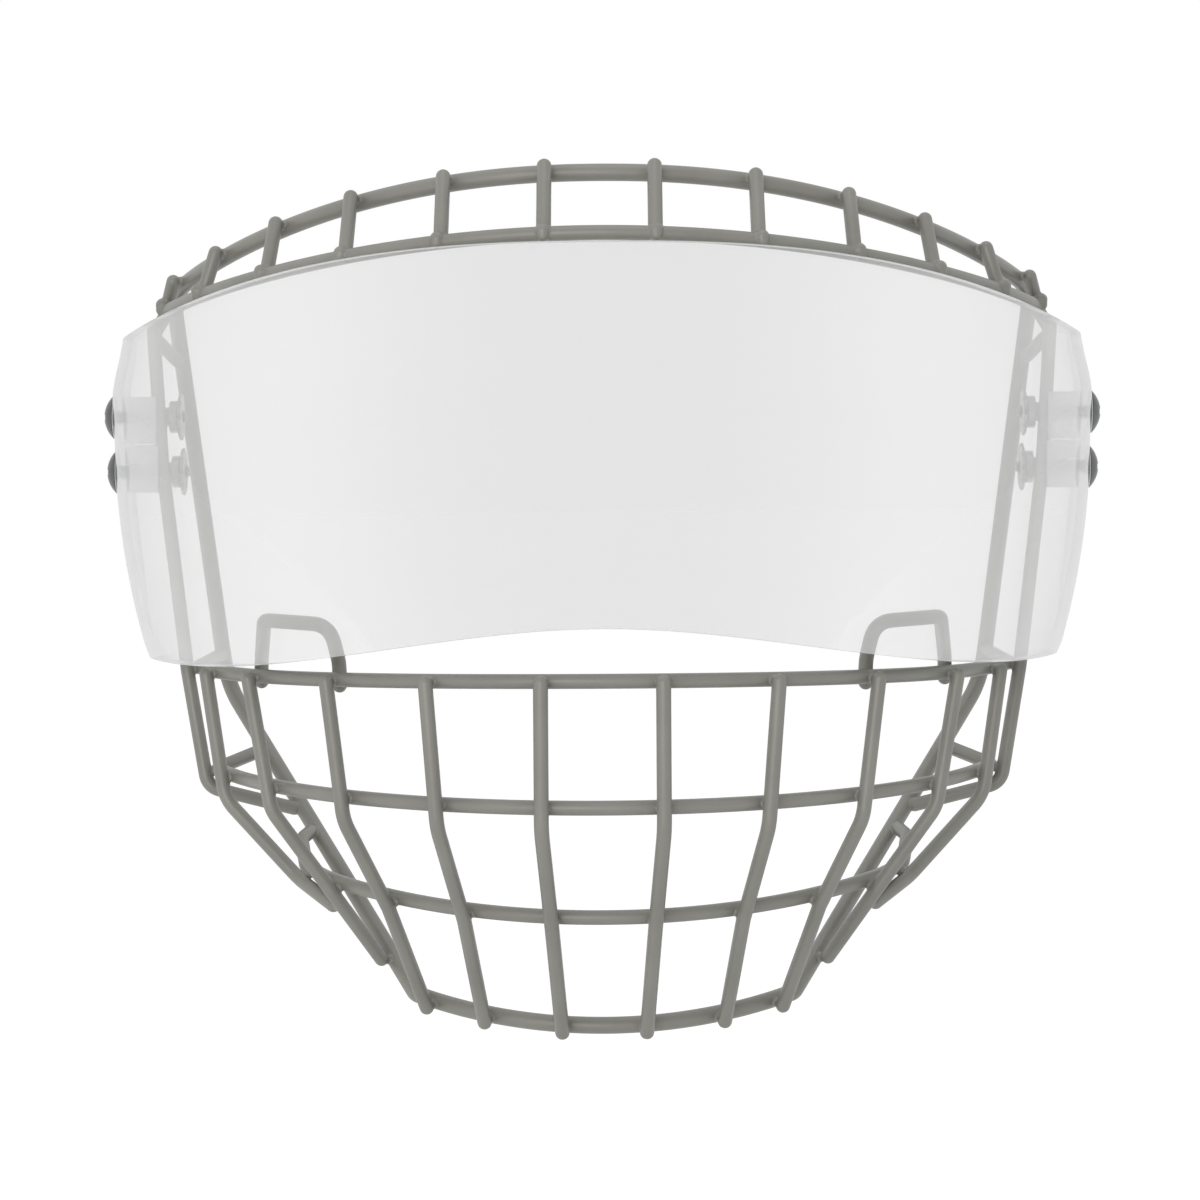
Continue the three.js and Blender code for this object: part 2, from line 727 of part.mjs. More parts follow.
// Support loops: two legs behind the upper wire, leaning out to the inner face of the visor
function supportLoops() {
  const upward = new THREE.Vector3(0, 0, 1);
  const leans = [loopInnerLean, loopOuterLean];
  const [inner, outer] = loopShares.map((share, i) => {
    const foot = upper.over(share, -wireSeat, upward);
    const across = Math.asin((foot.x + leans[i]) / visorHalfWidth(loopLevel)) / (Math.PI / 2);
    const depth = visorThickness + visorEase + weldGap + wireRadius;
    const top = visorFace(across, loopLevel).addScaledVector(visorNormal(across, loopLevel), -depth);
    const low = foot.clone().addScaledVector(upward, -loopTail);
    const high = foot.clone().addScaledVector(upward, wireDiameter);
    return { low, high, top };
  });
  const corners = [inner.low, inner.high, inner.top, outer.top, outer.high, outer.low];
  const path = bent(corners, [gentleBend, loopBend, loopBend, gentleBend]);
  addPair("visor_support_loop", wire(path, wireDiameter, domed), metal);
}

// A turned shape about the X axis; its profile holds pairs of radius and place along X
const holeRadius = screwDiameter / 2 + visorHoleClearance;
const shankHoleRadius = screwDiameter / 2 + screwClearance;
const barrelHoleRadius = barrelDiameter / 2 + weldGap;

function turned(profile) {
  const points = profile.map(([radius, along]) => new THREE.Vector2(radius, along));
  return welded(new THREE.LatheGeometry(points, turnedSides).rotateZ(-Math.PI / 2));
}

function ringProfile(inner, outer, from, to) {
  return [[inner, from], [outer, from], [outer, to], [inner, to], [inner, from]];
}

// Faces met along one screw, as distances from the mid plane. The inner washer clears the side
// wire, and the clear washer the visor, over its whole width.
function stackAt(level) {
  const edges = [-1, 1].map((side) => level + (side * innerWasherDiameter) / 2);
  const lean = Math.hypot(1, (sideTopHalfWidth - sideHalfWidth) / (sideTopLevel + sideBendDrop));
  const washerOuter = Math.min(...edges.map(sideWireAt)) - wireRadius * lean - weldGap;
  const washerInner = washerOuter - innerWasherThickness;
  const flangeOuter = washerInner - weldGap;
  const flangeInner = flangeOuter - flangeThickness;
  const rims = clearWasherShares.map((share) => level + (share * clearWasherDiameter) / 2);
  const clearInner = Math.max(...rims.map(visorHalfWidth)) + weldGap;
  const clearOuter = clearInner + clearWasherThickness;
  const headInner = clearOuter + weldGap;
  return { washerInner, washerOuter, flangeInner, flangeOuter, clearInner, clearOuter, headInner };
}

function screw(stack) {
  const shank = screwDiameter / 2;
  const tip = stack.flangeInner - tipLength;
  const rim = headDiameter / 2;
  const dome = [0.97, 0.82, 0.55, 0.28].map((share) => {
    return [rim * share, stack.headInner + headHeight * Math.sqrt(1 - share * share)];
  });
  const profile = [[0, tip], [shank, tip], [shank, stack.headInner], [rim, stack.headInner]];
  const body = turned([...profile, ...dome, [0, stack.headInner + headHeight]]);
  const floor = stack.headInner + headHeight - recessDepth;
  const arms = [[recessLength, recessWidth], [recessWidth, recessLength]].map(([long, wide]) => {
    const arm = new THREE.BoxGeometry(2 * recessDepth, long, wide);
    return arm.translate(floor + recessDepth, 0, 0);
  });
  return cut(body, ...arms);
}

function clearWasher(stack) {
  const bore = holeRadius;
  const narrow = (clearWasherDiameter + headDiameter) / 4;
  return turned([
    [bore, stack.clearInner],
    [clearWasherDiameter / 2, stack.clearInner],
    [narrow, stack.clearOuter],
    [bore, stack.clearOuter],
    [bore, stack.clearInner],
  ]);
}

function teeNut(stack) {
  const bore = shankHoleRadius;
  const end = spacerInner + barrelReach - spacerDepth / 2;
  return turned([
    [bore, stack.flangeInner],
    [flangeDiameter / 2, stack.flangeInner],
    [flangeDiameter / 2, stack.flangeOuter],
    [barrelDiameter / 2, stack.flangeOuter],
    [barrelDiameter / 2, end],
    [bore, end],
    [bore, stack.flangeInner],
  ]);
}

// Half width of the visor's inner face at a place beside the screws
function visorInnerAt(setback, level) {
  const across = acrossAt(setback, level);
  const normal = visorNormal(across, level);
  return visorFace(across, level).x - visorThickness / normal.x;
}

// Spacer block between cage and visor, grooved for the side wire and bored for the T-nut
function spacer(way) {
  const level = (way * screwSpacing) / 2;
  const near = (way * spacerSplit) / 2;
  const far = level + way * spacerMargin;
  const front = sideSetback - wireRadius - weldGap - spacerFrontWall;
  const inner = Math.min(sideWireAt(near), sideWireAt(far)) + spacerInset;
  const outline = [new THREE.Vector2(inner, front), new THREE.Vector2(inner, spacerBack)];
  for (const setback of [spacerBack, 0, front / 2, front]) {
    const widths = [near, far].map((height) => visorInnerAt(setback, height));
    outline.push(new THREE.Vector2(Math.min(...widths) - visorEase - weldGap, setback));
  }
  const height = Math.abs(far - near);
  const shape = new THREE.Shape(outline);
  const block = new THREE.ExtrudeGeometry(shape, { depth: height, bevelEnabled: false });
  block.translate(0, 0, Math.min(near, far));
  const groove = wire(sidePath(), wireDiameter + 2 * weldGap);
  const boreEnd = spacerInner + barrelReach - spacerDepth / 2 + weldGap;
  const boreLength = 2 * spacerDepth;
  const bore = new THREE.CylinderGeometry(barrelHoleRadius, barrelHoleRadius, boreLength, turnedSides);
  bore.rotateZ(Math.PI / 2).translate(boreEnd - spacerDepth, 0, level);
  const through = new THREE.CylinderGeometry(shankHoleRadius, shankHoleRadius, 4 * spacerDepth, turnedSides);
  through.rotateZ(Math.PI / 2).translate(spacerInner, 0, level);
  return cut(block, groove, bore, through);
}

// All the hardware of one screw, on both sides
function hardware(place, way) {
  const level = (way * screwSpacing) / 2;
  const stack = stackAt(level);
  const washer = ringProfile(barrelHoleRadius, innerWasherDiameter / 2, stack.washerInner, stack.washerOuter);
  const steel = { color: 0x4a4d50, metalness: 0.6, roughness: 0.4 };
  const zinc = { color: 0xb4b4b0, metalness: 0.8, roughness: 0.4 };
  const clear = { color: 0xe4e4e2, metalness: 0, roughness: 0.2, transparent: true, opacity: 0.6 };
  const milky = { color: 0xdcdcda, metalness: 0, roughness: 0.45 };
  const pieces = [
    ["visor_screw", screw(stack), steel],
    ["clear_washer", clearWasher(stack), clear],
    ["inner_washer", turned(washer), zinc],
    ["t_nut", teeNut(stack), zinc],
  ];
  for (const [name, geometry, look] of pieces) {
    addPair(`${name}_${place}`, geometry.translate(0, 0, level), look);
  }
  addPair(`spacer_${place}`, spacer(way), milky);
}

perimeterRing();
lowerBrowWire();
upperWire();
middleWire();
lowerWire();
browTies();
longUprights();
jawUprights();
sideWires();
visor();
supportLoops();
hardware("upper", 1);
hardware("lower", -1);

export default guard;
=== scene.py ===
import math

import bmesh
import bpy
import numpy as np
from mathutils import Matrix, Vector

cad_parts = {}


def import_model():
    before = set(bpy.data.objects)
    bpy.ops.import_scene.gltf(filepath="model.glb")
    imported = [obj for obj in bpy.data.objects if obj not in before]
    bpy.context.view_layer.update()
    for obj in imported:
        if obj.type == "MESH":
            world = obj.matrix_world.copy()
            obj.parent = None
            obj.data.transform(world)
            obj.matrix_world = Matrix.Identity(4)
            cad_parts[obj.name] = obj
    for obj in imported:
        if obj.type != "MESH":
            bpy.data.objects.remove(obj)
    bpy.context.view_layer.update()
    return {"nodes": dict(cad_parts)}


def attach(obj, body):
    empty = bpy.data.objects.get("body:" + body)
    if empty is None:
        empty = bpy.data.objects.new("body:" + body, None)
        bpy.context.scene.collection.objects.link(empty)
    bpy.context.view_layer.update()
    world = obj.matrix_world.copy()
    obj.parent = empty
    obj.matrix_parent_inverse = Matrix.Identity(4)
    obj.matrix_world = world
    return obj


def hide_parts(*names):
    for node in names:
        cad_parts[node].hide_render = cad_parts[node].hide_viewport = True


# The looks of a welded wire face guard with a clear visor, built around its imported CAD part.
# Lengths are millimetres in the part's own frame until a mesh is made, where MM turns them
# into metres. The wearer looks along -Y, +X is the wearer's left and +Z is up.
# A name that ends in share or shares is a part of a whole, without a unit.

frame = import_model()
MM = 0.001
SIDES = {"left": 1, "right": -1}

# Wire stock
WIRE_R = 1.7
RING_R = 2.0
GAP = 0.3
SEAT = 2 * WIRE_R + GAP
RING_SEAT = WIRE_R + RING_R + GAP

# Middle of the front wires' ellipses
PLAN_CENTRE = 40

# Crossing places along the front wires, as shares of their spread
UPPER_SHARES = [0.1235, 0.36, 0.575, 0.7606, 0.8756]
MIDDLE_SHARES = [0.128, 0.353, 0.5646, 0.745, 0.873]
LOWER_SHARES = [0.126, 0.343, 0.54, 0.695]
CHIN_SHARES = [0.1135, 0.326, 0.488]
TIE_TOP_SHARES = [0.11, 0.313, 0.505, 0.6695, 0.8115, 0.929]
TIE_FOOT_SHARES = [0.111, 0.3175, 0.516, 0.6895, 0.845, 0.956]
UPPER_CORNER_SHARE = 0.938
MIDDLE_CORNER_SHARE = 0.9307
BROW_END_SHARE = 0.95
LOWER_BROW_END_SHARE = 0.947
LOWER_END_SHARE = 0.74
CHIN_END_SHARE = 0.557
LOOP_FOOT_SHARES = [0.6, 0.8]

# Ends of the fourth and fifth uprights along the wires that they lean on
FOURTH_END_SHARE = 0.895
FIFTH_END_SHARE = 0.2
FIFTH_CROSS_SHARE = 0.79
ASIDE_SHARE = 0.56

# Bends, and how far wires run on past the wires that they cross
KINK_DROP = 4.8
KINK_BEND = 10
GENTLE_BEND = 8
RING_BENDS = [12, 12, 16, 7]
LOWER_BROW_BEND = 6
UPPER_END_BEND = 8
MIDDLE_END_BEND = 6
HOOK_BENDS = [8, 8]
SIDE_BENDS = [8, 8, 5]
LOOP_BENDS = [8, 5, 5, 8]
UPPER_RUN_ON = 4 * WIRE_R
MIDDLE_RUN_ON = 2 * WIRE_R
SIDE_RUN_ON = 3.8
TIE_PROUD = 0.7
UPRIGHT_PROUD = 0.4
LOOP_PROUD = 1.6

# Steps along curves
SMALL_SHARE = 0.001
CORNER_SHARE = 0.01
BEND_LENGTH_SHARE = 0.48
BROW_STEPS = 110
CAGE_STEPS = 100
LOWER_STEPS = 80
CHIN_STEPS = 56
BEND_STEPS = 14

# Side wires, visor and screws
SIDE_TOP = (111.5, 28)
SIDE_BEND = (109.6, -6)
SIDE_FOOT_DROP = 10.3
BARREL_D = 4.8
SETBACK = -(BARREL_D / 2 + GAP + WIRE_R)
SCREW_SPACING = 13.7
SCREW_D = 3
VISOR_T = 2.4
EASE = 0.2


def vec(x, y, z):
    return np.array((x, y, z), float)


def unit(v):
    return v / np.linalg.norm(v)


def way(a, b):
    return unit(b - a)


def flip(p):
    return p * np.array((-1, 1, 1))


def lerp(a, b, t):
    return a + (b - a) * t


def smooth(t):
    return t * t * (3 - 2 * t)


# Bowed wires of the front


class Bow:
    """A wire that is part of an ellipse seen from above, and rises or drops toward its ends."""

    def __init__(self, spread, reach, level, rise, power=2):
        self.spread, self.reach, self.depth = spread, reach, PLAN_CENTRE + reach
        self.level, self.rise, self.power = level, rise, power

    def at(self, share):
        back = PLAN_CENTRE - self.depth * math.sqrt(1 - share * share)
        return vec(share * self.spread, back, self.level + self.rise * abs(share) ** self.power)

    def out(self, share):
        return unit(vec(share / self.spread, -math.sqrt(1 - share * share) / self.depth, 0))

    def tangent(self, share):
        return way(self.at(share - SMALL_SHARE), self.at(share + SMALL_SHARE))

    def over(self, share, seat, direction):
        """Centre of another wire that crosses on the outside, touching at the given seat."""
        aside = unit(np.cross(self.tangent(share), direction))
        return self.at(share) + aside * seat * math.copysign(1, aside @ self.out(share))

    def run(self, start, end, steps):
        return [self.at(start + (end - start) * i / steps) for i in range(steps + 1)]


brow = Bow(spread=110, reach=84, level=62.7, rise=-25.9, power=2.2)
lower_brow = Bow(spread=113.7, reach=99.5, level=48.4, rise=-16.8)
upper = Bow(spread=106.1, reach=110, level=-52.1, rise=-3.75)
middle = Bow(spread=102.3, reach=109, level=-80.7, rise=0.4)
lower = Bow(spread=88.9, reach=95.2, level=-107.2, rise=7.4)
chin = Bow(spread=80.8, reach=74, level=-135.3, rise=15.3)


def bent(corners, radii):
    """Straight lengths through a list of corners, each inner corner bent to its own radius."""
    path = [corners[0]]
    for i, radius in enumerate(radii, 1):
        back, on = corners[i - 1] - corners[i], corners[i + 1] - corners[i]
        long_back, long_on = np.linalg.norm(back), np.linalg.norm(on)
        half = math.acos(np.clip(back @ on / (long_back * long_on), -1, 1)) / 2
        most = BEND_LENGTH_SHARE * min(long_back, long_on)
        reach = min(radius / math.tan(half), most)
        start = corners[i] + back / long_back * reach
        end = corners[i] + on / long_on * reach
        for t in np.linspace(0, 1, BEND_STEPS + 1):
            path.append(start * (1 - t) ** 2 + corners[i] * 2 * t * (1 - t) + end * t * t)
    path.append(corners[-1])
    return path


# Perimeter ring
temple = vec(108.4, 13, 37)
jaw = vec(96.4, 19.5, -61.5)
chin_corner = chin.at(CHIN_END_SHARE)
side_axis = way(temple, jaw)
jaw_axis = way(jaw, chin_corner)


def on_side(level):
    return temple + (jaw - temple) * (temple[2] - level) / (temple[2] - jaw[2])


def on_jaw(share):
    return jaw + (chin_corner - jaw) * share


def on_jaw_level(level):
    return on_jaw((jaw[2] - level) / (jaw[2] - chin_corner[2]))


def ring_path():
    top = brow.run(-BROW_END_SHARE, BROW_END_SHARE, BROW_STEPS)
    low = chin.run(CHIN_END_SHARE, -CHIN_END_SHARE, CHIN_STEPS)[1:-1]
    side = bent([top[-2], top[-1], temple, jaw, chin_corner, low[0]], RING_BENDS)[2:-1]
    return top[1:-1] + side + low + [flip(p) for p in reversed(side)]


# Wires that butt on another are let in to it by a little, as a weld does
WELD_IN = 0.9


def butt(start, target, axis, radius=RING_R):
    """Where a wire stops that comes in at any angle on a round wire."""
    along = way(start, target)
    lean = abs(along @ axis)
    short = (radius + GAP + WIRE_R * lean) / math.sqrt(1 - lean * lean)
    return target - along * (short - WELD_IN)


def both_ends(run, end):
    return [flip(p) for p in reversed(end)] + run + end


# Lower brow wire and the three cage wires, with the places where they end
lower_brow_corner = vec(112.4, 1.9, 27)
LOWER_BROW_FOOT_Z = 19.5
MIDDLE_FOOT_RISE = 2 * RING_R
hook = vec(72.2, -38, -102)
heel = vec(74.2, -26, -96.5)
HEEL_FOOT_Z = -94.8
lower_end = lower.at(LOWER_END_SHARE)


def lower_brow_path():
    run = lower_brow.run(-LOWER_BROW_END_SHARE, LOWER_BROW_END_SHARE, BROW_STEPS)
    end = butt(lower_brow_corner, on_side(LOWER_BROW_FOOT_Z), side_axis)
    return both_ends(run, bent([run[-1], lower_brow_corner, end], [LOWER_BROW_BEND])[1:])


def turn_corner(front, share, length):
    return front.at(share) + way(front.at(share - CORNER_SHARE), front.at(share)) * length


def upper_path():
    run = upper.run(-UPPER_CORNER_SHARE, UPPER_CORNER_SHARE, CAGE_STEPS)
    corner = turn_corner(upper, UPPER_CORNER_SHARE, UPPER_RUN_ON)
    end = butt(corner, on_side(upper.at(UPPER_CORNER_SHARE)[2] + WIRE_R), side_axis)
    return both_ends(run, bent([run[-1], corner, end], [UPPER_END_BEND])[1:])


def middle_path():
    run = middle.run(-MIDDLE_CORNER_SHARE, MIDDLE_CORNER_SHARE, CAGE_STEPS)
    corner = turn_corner(middle, MIDDLE_CORNER_SHARE, MIDDLE_RUN_ON)
    end = butt(corner, on_jaw_level(middle.level + MIDDLE_FOOT_RISE), jaw_axis)
    return both_ends(run, bent([run[-1], corner, end], [MIDDLE_END_BEND])[1:])


def lower_path():
    run = lower.run(-LOWER_END_SHARE, LOWER_END_SHARE, LOWER_STEPS)
    end = butt(heel, on_jaw_level(HEEL_FOOT_Z), jaw_axis)
    return both_ends(run, bent([lower_end, hook, heel, end], HOOK_BENDS)[1:])


def tie_paths():
    paths = []
    for top, foot_share in zip(TIE_TOP_SHARES, TIE_FOOT_SHARES):
        base = lower_brow.at(foot_share)
        first = brow.over(top, RING_SEAT, way(base, brow.at(top)))
        crossing = brow.over(top, RING_SEAT, way(base, first))
        foot = butt(crossing, base, lower_brow.tangent(foot_share), WIRE_R)
        paths.append([foot, crossing + way(foot, crossing) * (TIE_PROUD - WIRE_R)])
    return paths


def upper_part(i):
    """Where an upright crosses the upper wire, and its kink below the middle wire."""
    down = way(upper.at(UPPER_SHARES[i]), middle.at(MIDDLE_SHARES[i]))
    top = upper.over(UPPER_SHARES[i], SEAT, down)
    mid = middle.over(MIDDLE_SHARES[i], SEAT, down)
    return top, mid + way(top, mid) * KINK_DROP


def upright_paths():
    paths = []
    for i, share in enumerate(CHIN_SHARES):
        top, kink = upper_part(i)
        low_mark, foot_mark = lower.at(LOWER_SHARES[i]), chin.at(share)
        low = lower.over(LOWER_SHARES[i], SEAT, way(kink, foot_mark))
        foot = chin.over(share, RING_SEAT, way(low_mark, foot_mark))
        tip = foot + way(low, foot) * (UPRIGHT_PROUD - WIRE_R)
        paths.append(bent([top, kink, low, tip], [KINK_BEND, GENTLE_BEND]))
    beside = np.sqrt(1 - ASIDE_SHARE**2)
    top, kink = upper_part(3)
    aside = unit(vec(-jaw_axis[2], 0, jaw_axis[0]))
    front = unit(np.cross(jaw_axis, aside))
    front = -front if front[1] > 0 else front
    end = on_jaw(FOURTH_END_SHARE) + RING_SEAT * (aside * ASIDE_SHARE + front * beside)
    low = lower.over(LOWER_SHARES[3], SEAT, way(kink, end))
    paths.append(bent([top, kink, low, end], [KINK_BEND, GENTLE_BEND]))
    top, kink = upper_part(4)
    down = way(low, end)
    across = unit(vec(-down[2], 0, down[0]))
    behind = unit(np.cross(down, across))
    behind = -behind if behind[1] < 0 else behind
    meeting = low + (end - low) * FIFTH_END_SHARE + SEAT * (across * ASIDE_SHARE + behind * beside)
    aside = unit(np.cross(way(lower_end, hook), way(kink, meeting)))
    aside = -aside if aside[1] > 0 else aside
    passing = lower_end + (hook - lower_end) * FIFTH_CROSS_SHARE + aside * SEAT
    paths.append(bent([top, kink, passing, meeting], [KINK_BEND, GENTLE_BEND]))
    return paths


def side_crossings():
    down = way(upper.at(UPPER_CORNER_SHARE), middle.at(MIDDLE_CORNER_SHARE))
    at_upper = upper.over(UPPER_CORNER_SHARE, SEAT, down)
    return at_upper, middle.over(MIDDLE_CORNER_SHARE, SEAT, down)


def side_path():
    at_upper, at_middle = side_crossings()
    turn = at_middle + way(at_upper, at_middle) * SIDE_RUN_ON
    end = butt(turn, on_jaw_level(middle.level - SIDE_FOOT_DROP), jaw_axis)
    top, bend = [vec(x, SETBACK, z) for x, z in (SIDE_TOP, SIDE_BEND)]
    return bent([top, bend, at_upper, turn, end], SIDE_BENDS)


def side_wire_at(level):
    share = min((SIDE_TOP[1] - level) / (SIDE_TOP[1] - SIDE_BEND[1]), 1)
    return SIDE_TOP[0] + (SIDE_BEND[0] - SIDE_TOP[0]) * share


# Visor, placed by the spacers at the screws, and elsewhere by the wires that it stands off
SPACER_OFF = 0.9
SPACER_INNER = side_wire_at(0) + SPACER_OFF
SPACER_DEPTH = 7.5
BARREL_REACH = 6.25
SCREW_X = SPACER_INNER + SPACER_DEPTH + GAP + EASE + VISOR_T
SCREW_OFF = SCREW_X - side_wire_at(0)
TOP_STANDOFF = 3.05
SIDE_STANDOFF = 6.4
BOTTOM_STANDOFF = 4.7
TOP_OFF = WIRE_R + TOP_STANDOFF + VISOR_T
BOTTOM_X = side_crossings()[0][0] + WIRE_R + SIDE_STANDOFF + VISOR_T
TOP_DROP = 1.9
BOTTOM_LIFT = 12.1
TEMPLE_DROP = 20.2
TEMPLE_FALL = 12.7
TOP_Z = lower_brow.level - TOP_DROP
BOTTOM_Z = upper.level + BOTTOM_LIFT
TEMPLE_TOP_Z = TOP_Z - TEMPLE_DROP
TEMPLE_BOTTOM_Z = BOTTOM_Z - TEMPLE_FALL
TOP_REACH = lower_brow.reach + WIRE_R + GAP + VISOR_T
BOTTOM_REACH = upper.reach + BOTTOM_STANDOFF
VISOR_BACK = 14
SEAT_REACH = 6
ROUND_POWER = 0.72
DRAWN_IN_SHARES = (0.35, 1.15)

# Edges of the visor, and where the support loops end behind it
TOP_EDGE_POWER = 2.6
BOTTOM_FLAT_SHARE = 0.95
LOWER_SWEEP = 28
LOWER_SWEEP_POWER = 5.5
UPPER_SWEEP = 9
UPPER_SWEEP_POWER = 6
REAR_CORNER = 4
LOOP_TOP_Z = -40.6
LOOP_LEANS = (4.6, 0.9)


def half_width(level):
    """From the mid plane to the visor's outer face at its sides."""
    if level > 0:
        start, end = DRAWN_IN_SHARES
        share = min(max((level / TEMPLE_TOP_Z - start) / (end - start), 0), 1)
        return side_wire_at(level) + lerp(SCREW_OFF, TOP_OFF, smooth(share))
    return lerp(SCREW_X, BOTTOM_X, (level / TEMPLE_BOTTOM_Z) ** 2)


def reach_at(level):
    return lerp(BOTTOM_REACH, TOP_REACH, (level - BOTTOM_Z) / (TOP_Z - BOTTOM_Z))


def visor_face(across, level):
    """Outer face of the visor: 0 on the mid plane, 1 where the screws' seats start."""
    angle = min(abs(across), 1) * math.pi / 2
    x = math.copysign(half_width(level) * math.sin(angle), across)
    bow = reach_at(level) - SEAT_REACH
    front = -SEAT_REACH - bow * max(math.cos(angle), 0) ** (2 * ROUND_POWER)
    return vec(x, front + max(abs(across) - 1, 0) * (VISOR_BACK + SEAT_REACH), level)


def visor_normal(across, level):
    along = visor_face(across + SMALL_SHARE, level) - visor_face(across - SMALL_SHARE, level)
    up = visor_face(across, level + VISOR_T) - visor_face(across, level - VISOR_T)
    return unit(np.cross(along, up))


def across_at(setback, level):
    """Where along its width the visor's face is that far back."""
    past = setback + SEAT_REACH
    if past >= 0:
        return 1 + past / (VISOR_BACK + SEAT_REACH)
    bow = reach_at(level) - SEAT_REACH
    return math.acos((-past / bow) ** (1 / (2 * ROUND_POWER))) / (math.pi / 2)


def top_edge(share):
    return TOP_Z - TEMPLE_DROP * share**TOP_EDGE_POWER


def bottom_edge(share):
    return BOTTOM_Z - TEMPLE_FALL * smooth(min(share / BOTTOM_FLAT_SHARE, 1))


def rear_edge(share):
    lower_sweep = LOWER_SWEEP * (1 - share) ** LOWER_SWEEP_POWER
    upper_sweep = UPPER_SWEEP * share**UPPER_SWEEP_POWER
    corner_share = REAR_CORNER / (TEMPLE_TOP_Z - TEMPLE_BOTTOM_Z)
    in_corner = min(max(share - 1 + corner_share, 0) / corner_share, 1)
    cut_off = REAR_CORNER * (1 - math.sqrt(1 - in_corner**2))
    return VISOR_BACK - lower_sweep - upper_sweep - cut_off


def loop_path():
    """Two legs behind the upper wire, leaning out to the inner face of the visor."""
    up = vec(0, 0, 1)
    corners = []
    for share, lean in zip(LOOP_FOOT_SHARES, LOOP_LEANS):
        foot = upper.over(share, -SEAT, up)
        across = math.asin((foot[0] + lean) / half_width(LOOP_TOP_Z)) / (math.pi / 2)
        depth = VISOR_T + EASE + GAP + WIRE_R
        top = visor_face(across, LOOP_TOP_Z) - visor_normal(across, LOOP_TOP_Z) * depth
        corners.append([foot - up * LOOP_PROUD, foot + up * 2 * WIRE_R, top])
    inner, outer = corners
    return bent(inner + outer[::-1], LOOP_BENDS)


# Meshes
WIRE_SIDES = 24
DOME_RINGS = 5
# A wire that starts more along X than this takes its first normal from Z
ALONG_SHARE = 0.7


def swept(path, radius, closed=False, start=False, end=False, sides=WIRE_SIDES, rings=DOME_RINGS):
    """Corners and faces of a round wire along a path, with domes where asked for."""
    pts = np.array(path)
    link = np.roll(pts, -1, 0) - pts
    link /= np.linalg.norm(link, axis=1)[:, None]
    tangents = link + np.roll(link, 1, 0)
    if not closed:
        tangents[0], tangents[-1] = link[0], link[-2]
    tangents /= np.linalg.norm(tangents, axis=1)[:, None]
    first = vec(1, 0, 0) if abs(tangents[0][0]) < ALONG_SHARE else vec(0, 0, 1)
    normals = [unit(first - tangents[0] * (first @ tangents[0]))]
    for i in range(1, len(pts)):
        turn = Vector(tangents[i - 1]).rotation_difference(Vector(tangents[i]))
        normals.append(np.array(turn @ Vector(normals[-1])))
    twist = 0
    if closed:
        turn = Vector(tangents[-1]).rotation_difference(Vector(tangents[0]))
        last = np.array(turn @ Vector(normals[-1]))
        twist = math.atan2(tangents[0] @ np.cross(last, normals[0]), last @ normals[0])
    spots = [[p, t, n, radius] for p, t, n in zip(pts, tangents, normals)]
    for domed, index, sign in ((start, 0, -1), (end, -1, 1)):
        if not domed:
            continue
        p, t, n, _ = spots[index]
        extra = []
        for k in range(1, rings):
            angle = k / rings * math.pi / 2
            extra.append([p + t * sign * radius * math.sin(angle), t, n, radius * math.cos(angle)])
        spots = spots + extra if sign > 0 else extra[::-1] + spots
    verts = []
    for i, (p, t, n, r) in enumerate(spots):
        spin = twist * i / len(spots)
        across = np.cross(t, n)
        for k in range(sides):
            angle = 2 * math.pi * k / sides + spin
            verts.append(p + r * (n * math.cos(angle) + across * math.sin(angle)))
    faces = []
    count = len(spots)
    for i in range(count if closed else count - 1):
        j = (i + 1) % count
        for k in range(sides):
            a, b = i * sides + k, i * sides + (k + 1) % sides
            faces.append((a, b, j * sides + (k + 1) % sides, j * sides + k))
    if not closed:
        for domed, index, sign in ((start, 0, -1), (end, count - 1, 1)):
            p, t = (pts[0], tangents[0]) if sign < 0 else (pts[-1], tangents[-1])
            verts.append(p + t * sign * (radius if domed else 0))
            tip = len(verts) - 1
            for k in range(sides):
                a, b = index * sides + k, index * sides + (k + 1) % sides
                faces.append((tip, b, a) if sign < 0 else (tip, a, b))
    return verts, faces


def mesh_from(name, verts, faces):
    mesh = bpy.data.meshes.new(name)
    mesh.from_pydata([tuple(float(c) * MM for c in v) for v in verts], [], faces)
    mesh.update()
    bm = bmesh.new()
    bm.from_mesh(mesh)
    bmesh.ops.recalc_face_normals(bm, faces=bm.faces)
    bm.to_mesh(mesh)
    bm.free()
    return mesh


def gathered(*parts):
    """Several lists of corners and faces as one."""
    verts, faces = [], []
    for more_verts, more_faces in parts:
        faces += [tuple(k + len(verts) for k in face) for face in more_faces]
        verts += more_verts
    return verts, faces


# Pieces that a lamp may be kept to
COATED, OTHERS = (bpy.data.collections.new(name) for name in ("coated", "others"))
SHARP_DEGREES = 40


def piece(name, mesh, material, body="guard", nodes=(), sharp=SHARP_DEGREES):
    """An object made of the mesh. With no material, the mesh keeps the ones that it has."""
    mesh.name = name
    obj = bpy.data.objects.new(name, mesh)
    bpy.context.scene.collection.objects.link(obj)
    (COATED if material == COAT else OTHERS).objects.link(obj)
    if material:
        mesh.materials.clear()
        mesh.materials.append(material)
    mesh.shade_smooth()
    mesh.set_sharp_from_angle(angle=math.radians(sharp))
    if nodes:
        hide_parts(*nodes)
    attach(obj, body)
    return obj


def applied(mesh, *modifiers):
    """The mesh after modifiers, each given as its type and its settings."""
    obj = bpy.data.objects.new("shaping", mesh)
    bpy.context.scene.collection.objects.link(obj)
    for kind, settings in modifiers:
        modifier = obj.modifiers.new(kind, kind)
        for key, value in settings.items():
            setattr(modifier, key, value)
    graph = bpy.context.evaluated_depsgraph_get()
    result = bpy.data.meshes.new_from_object(obj.evaluated_get(graph))
    bpy.data.objects.remove(obj)
    return result


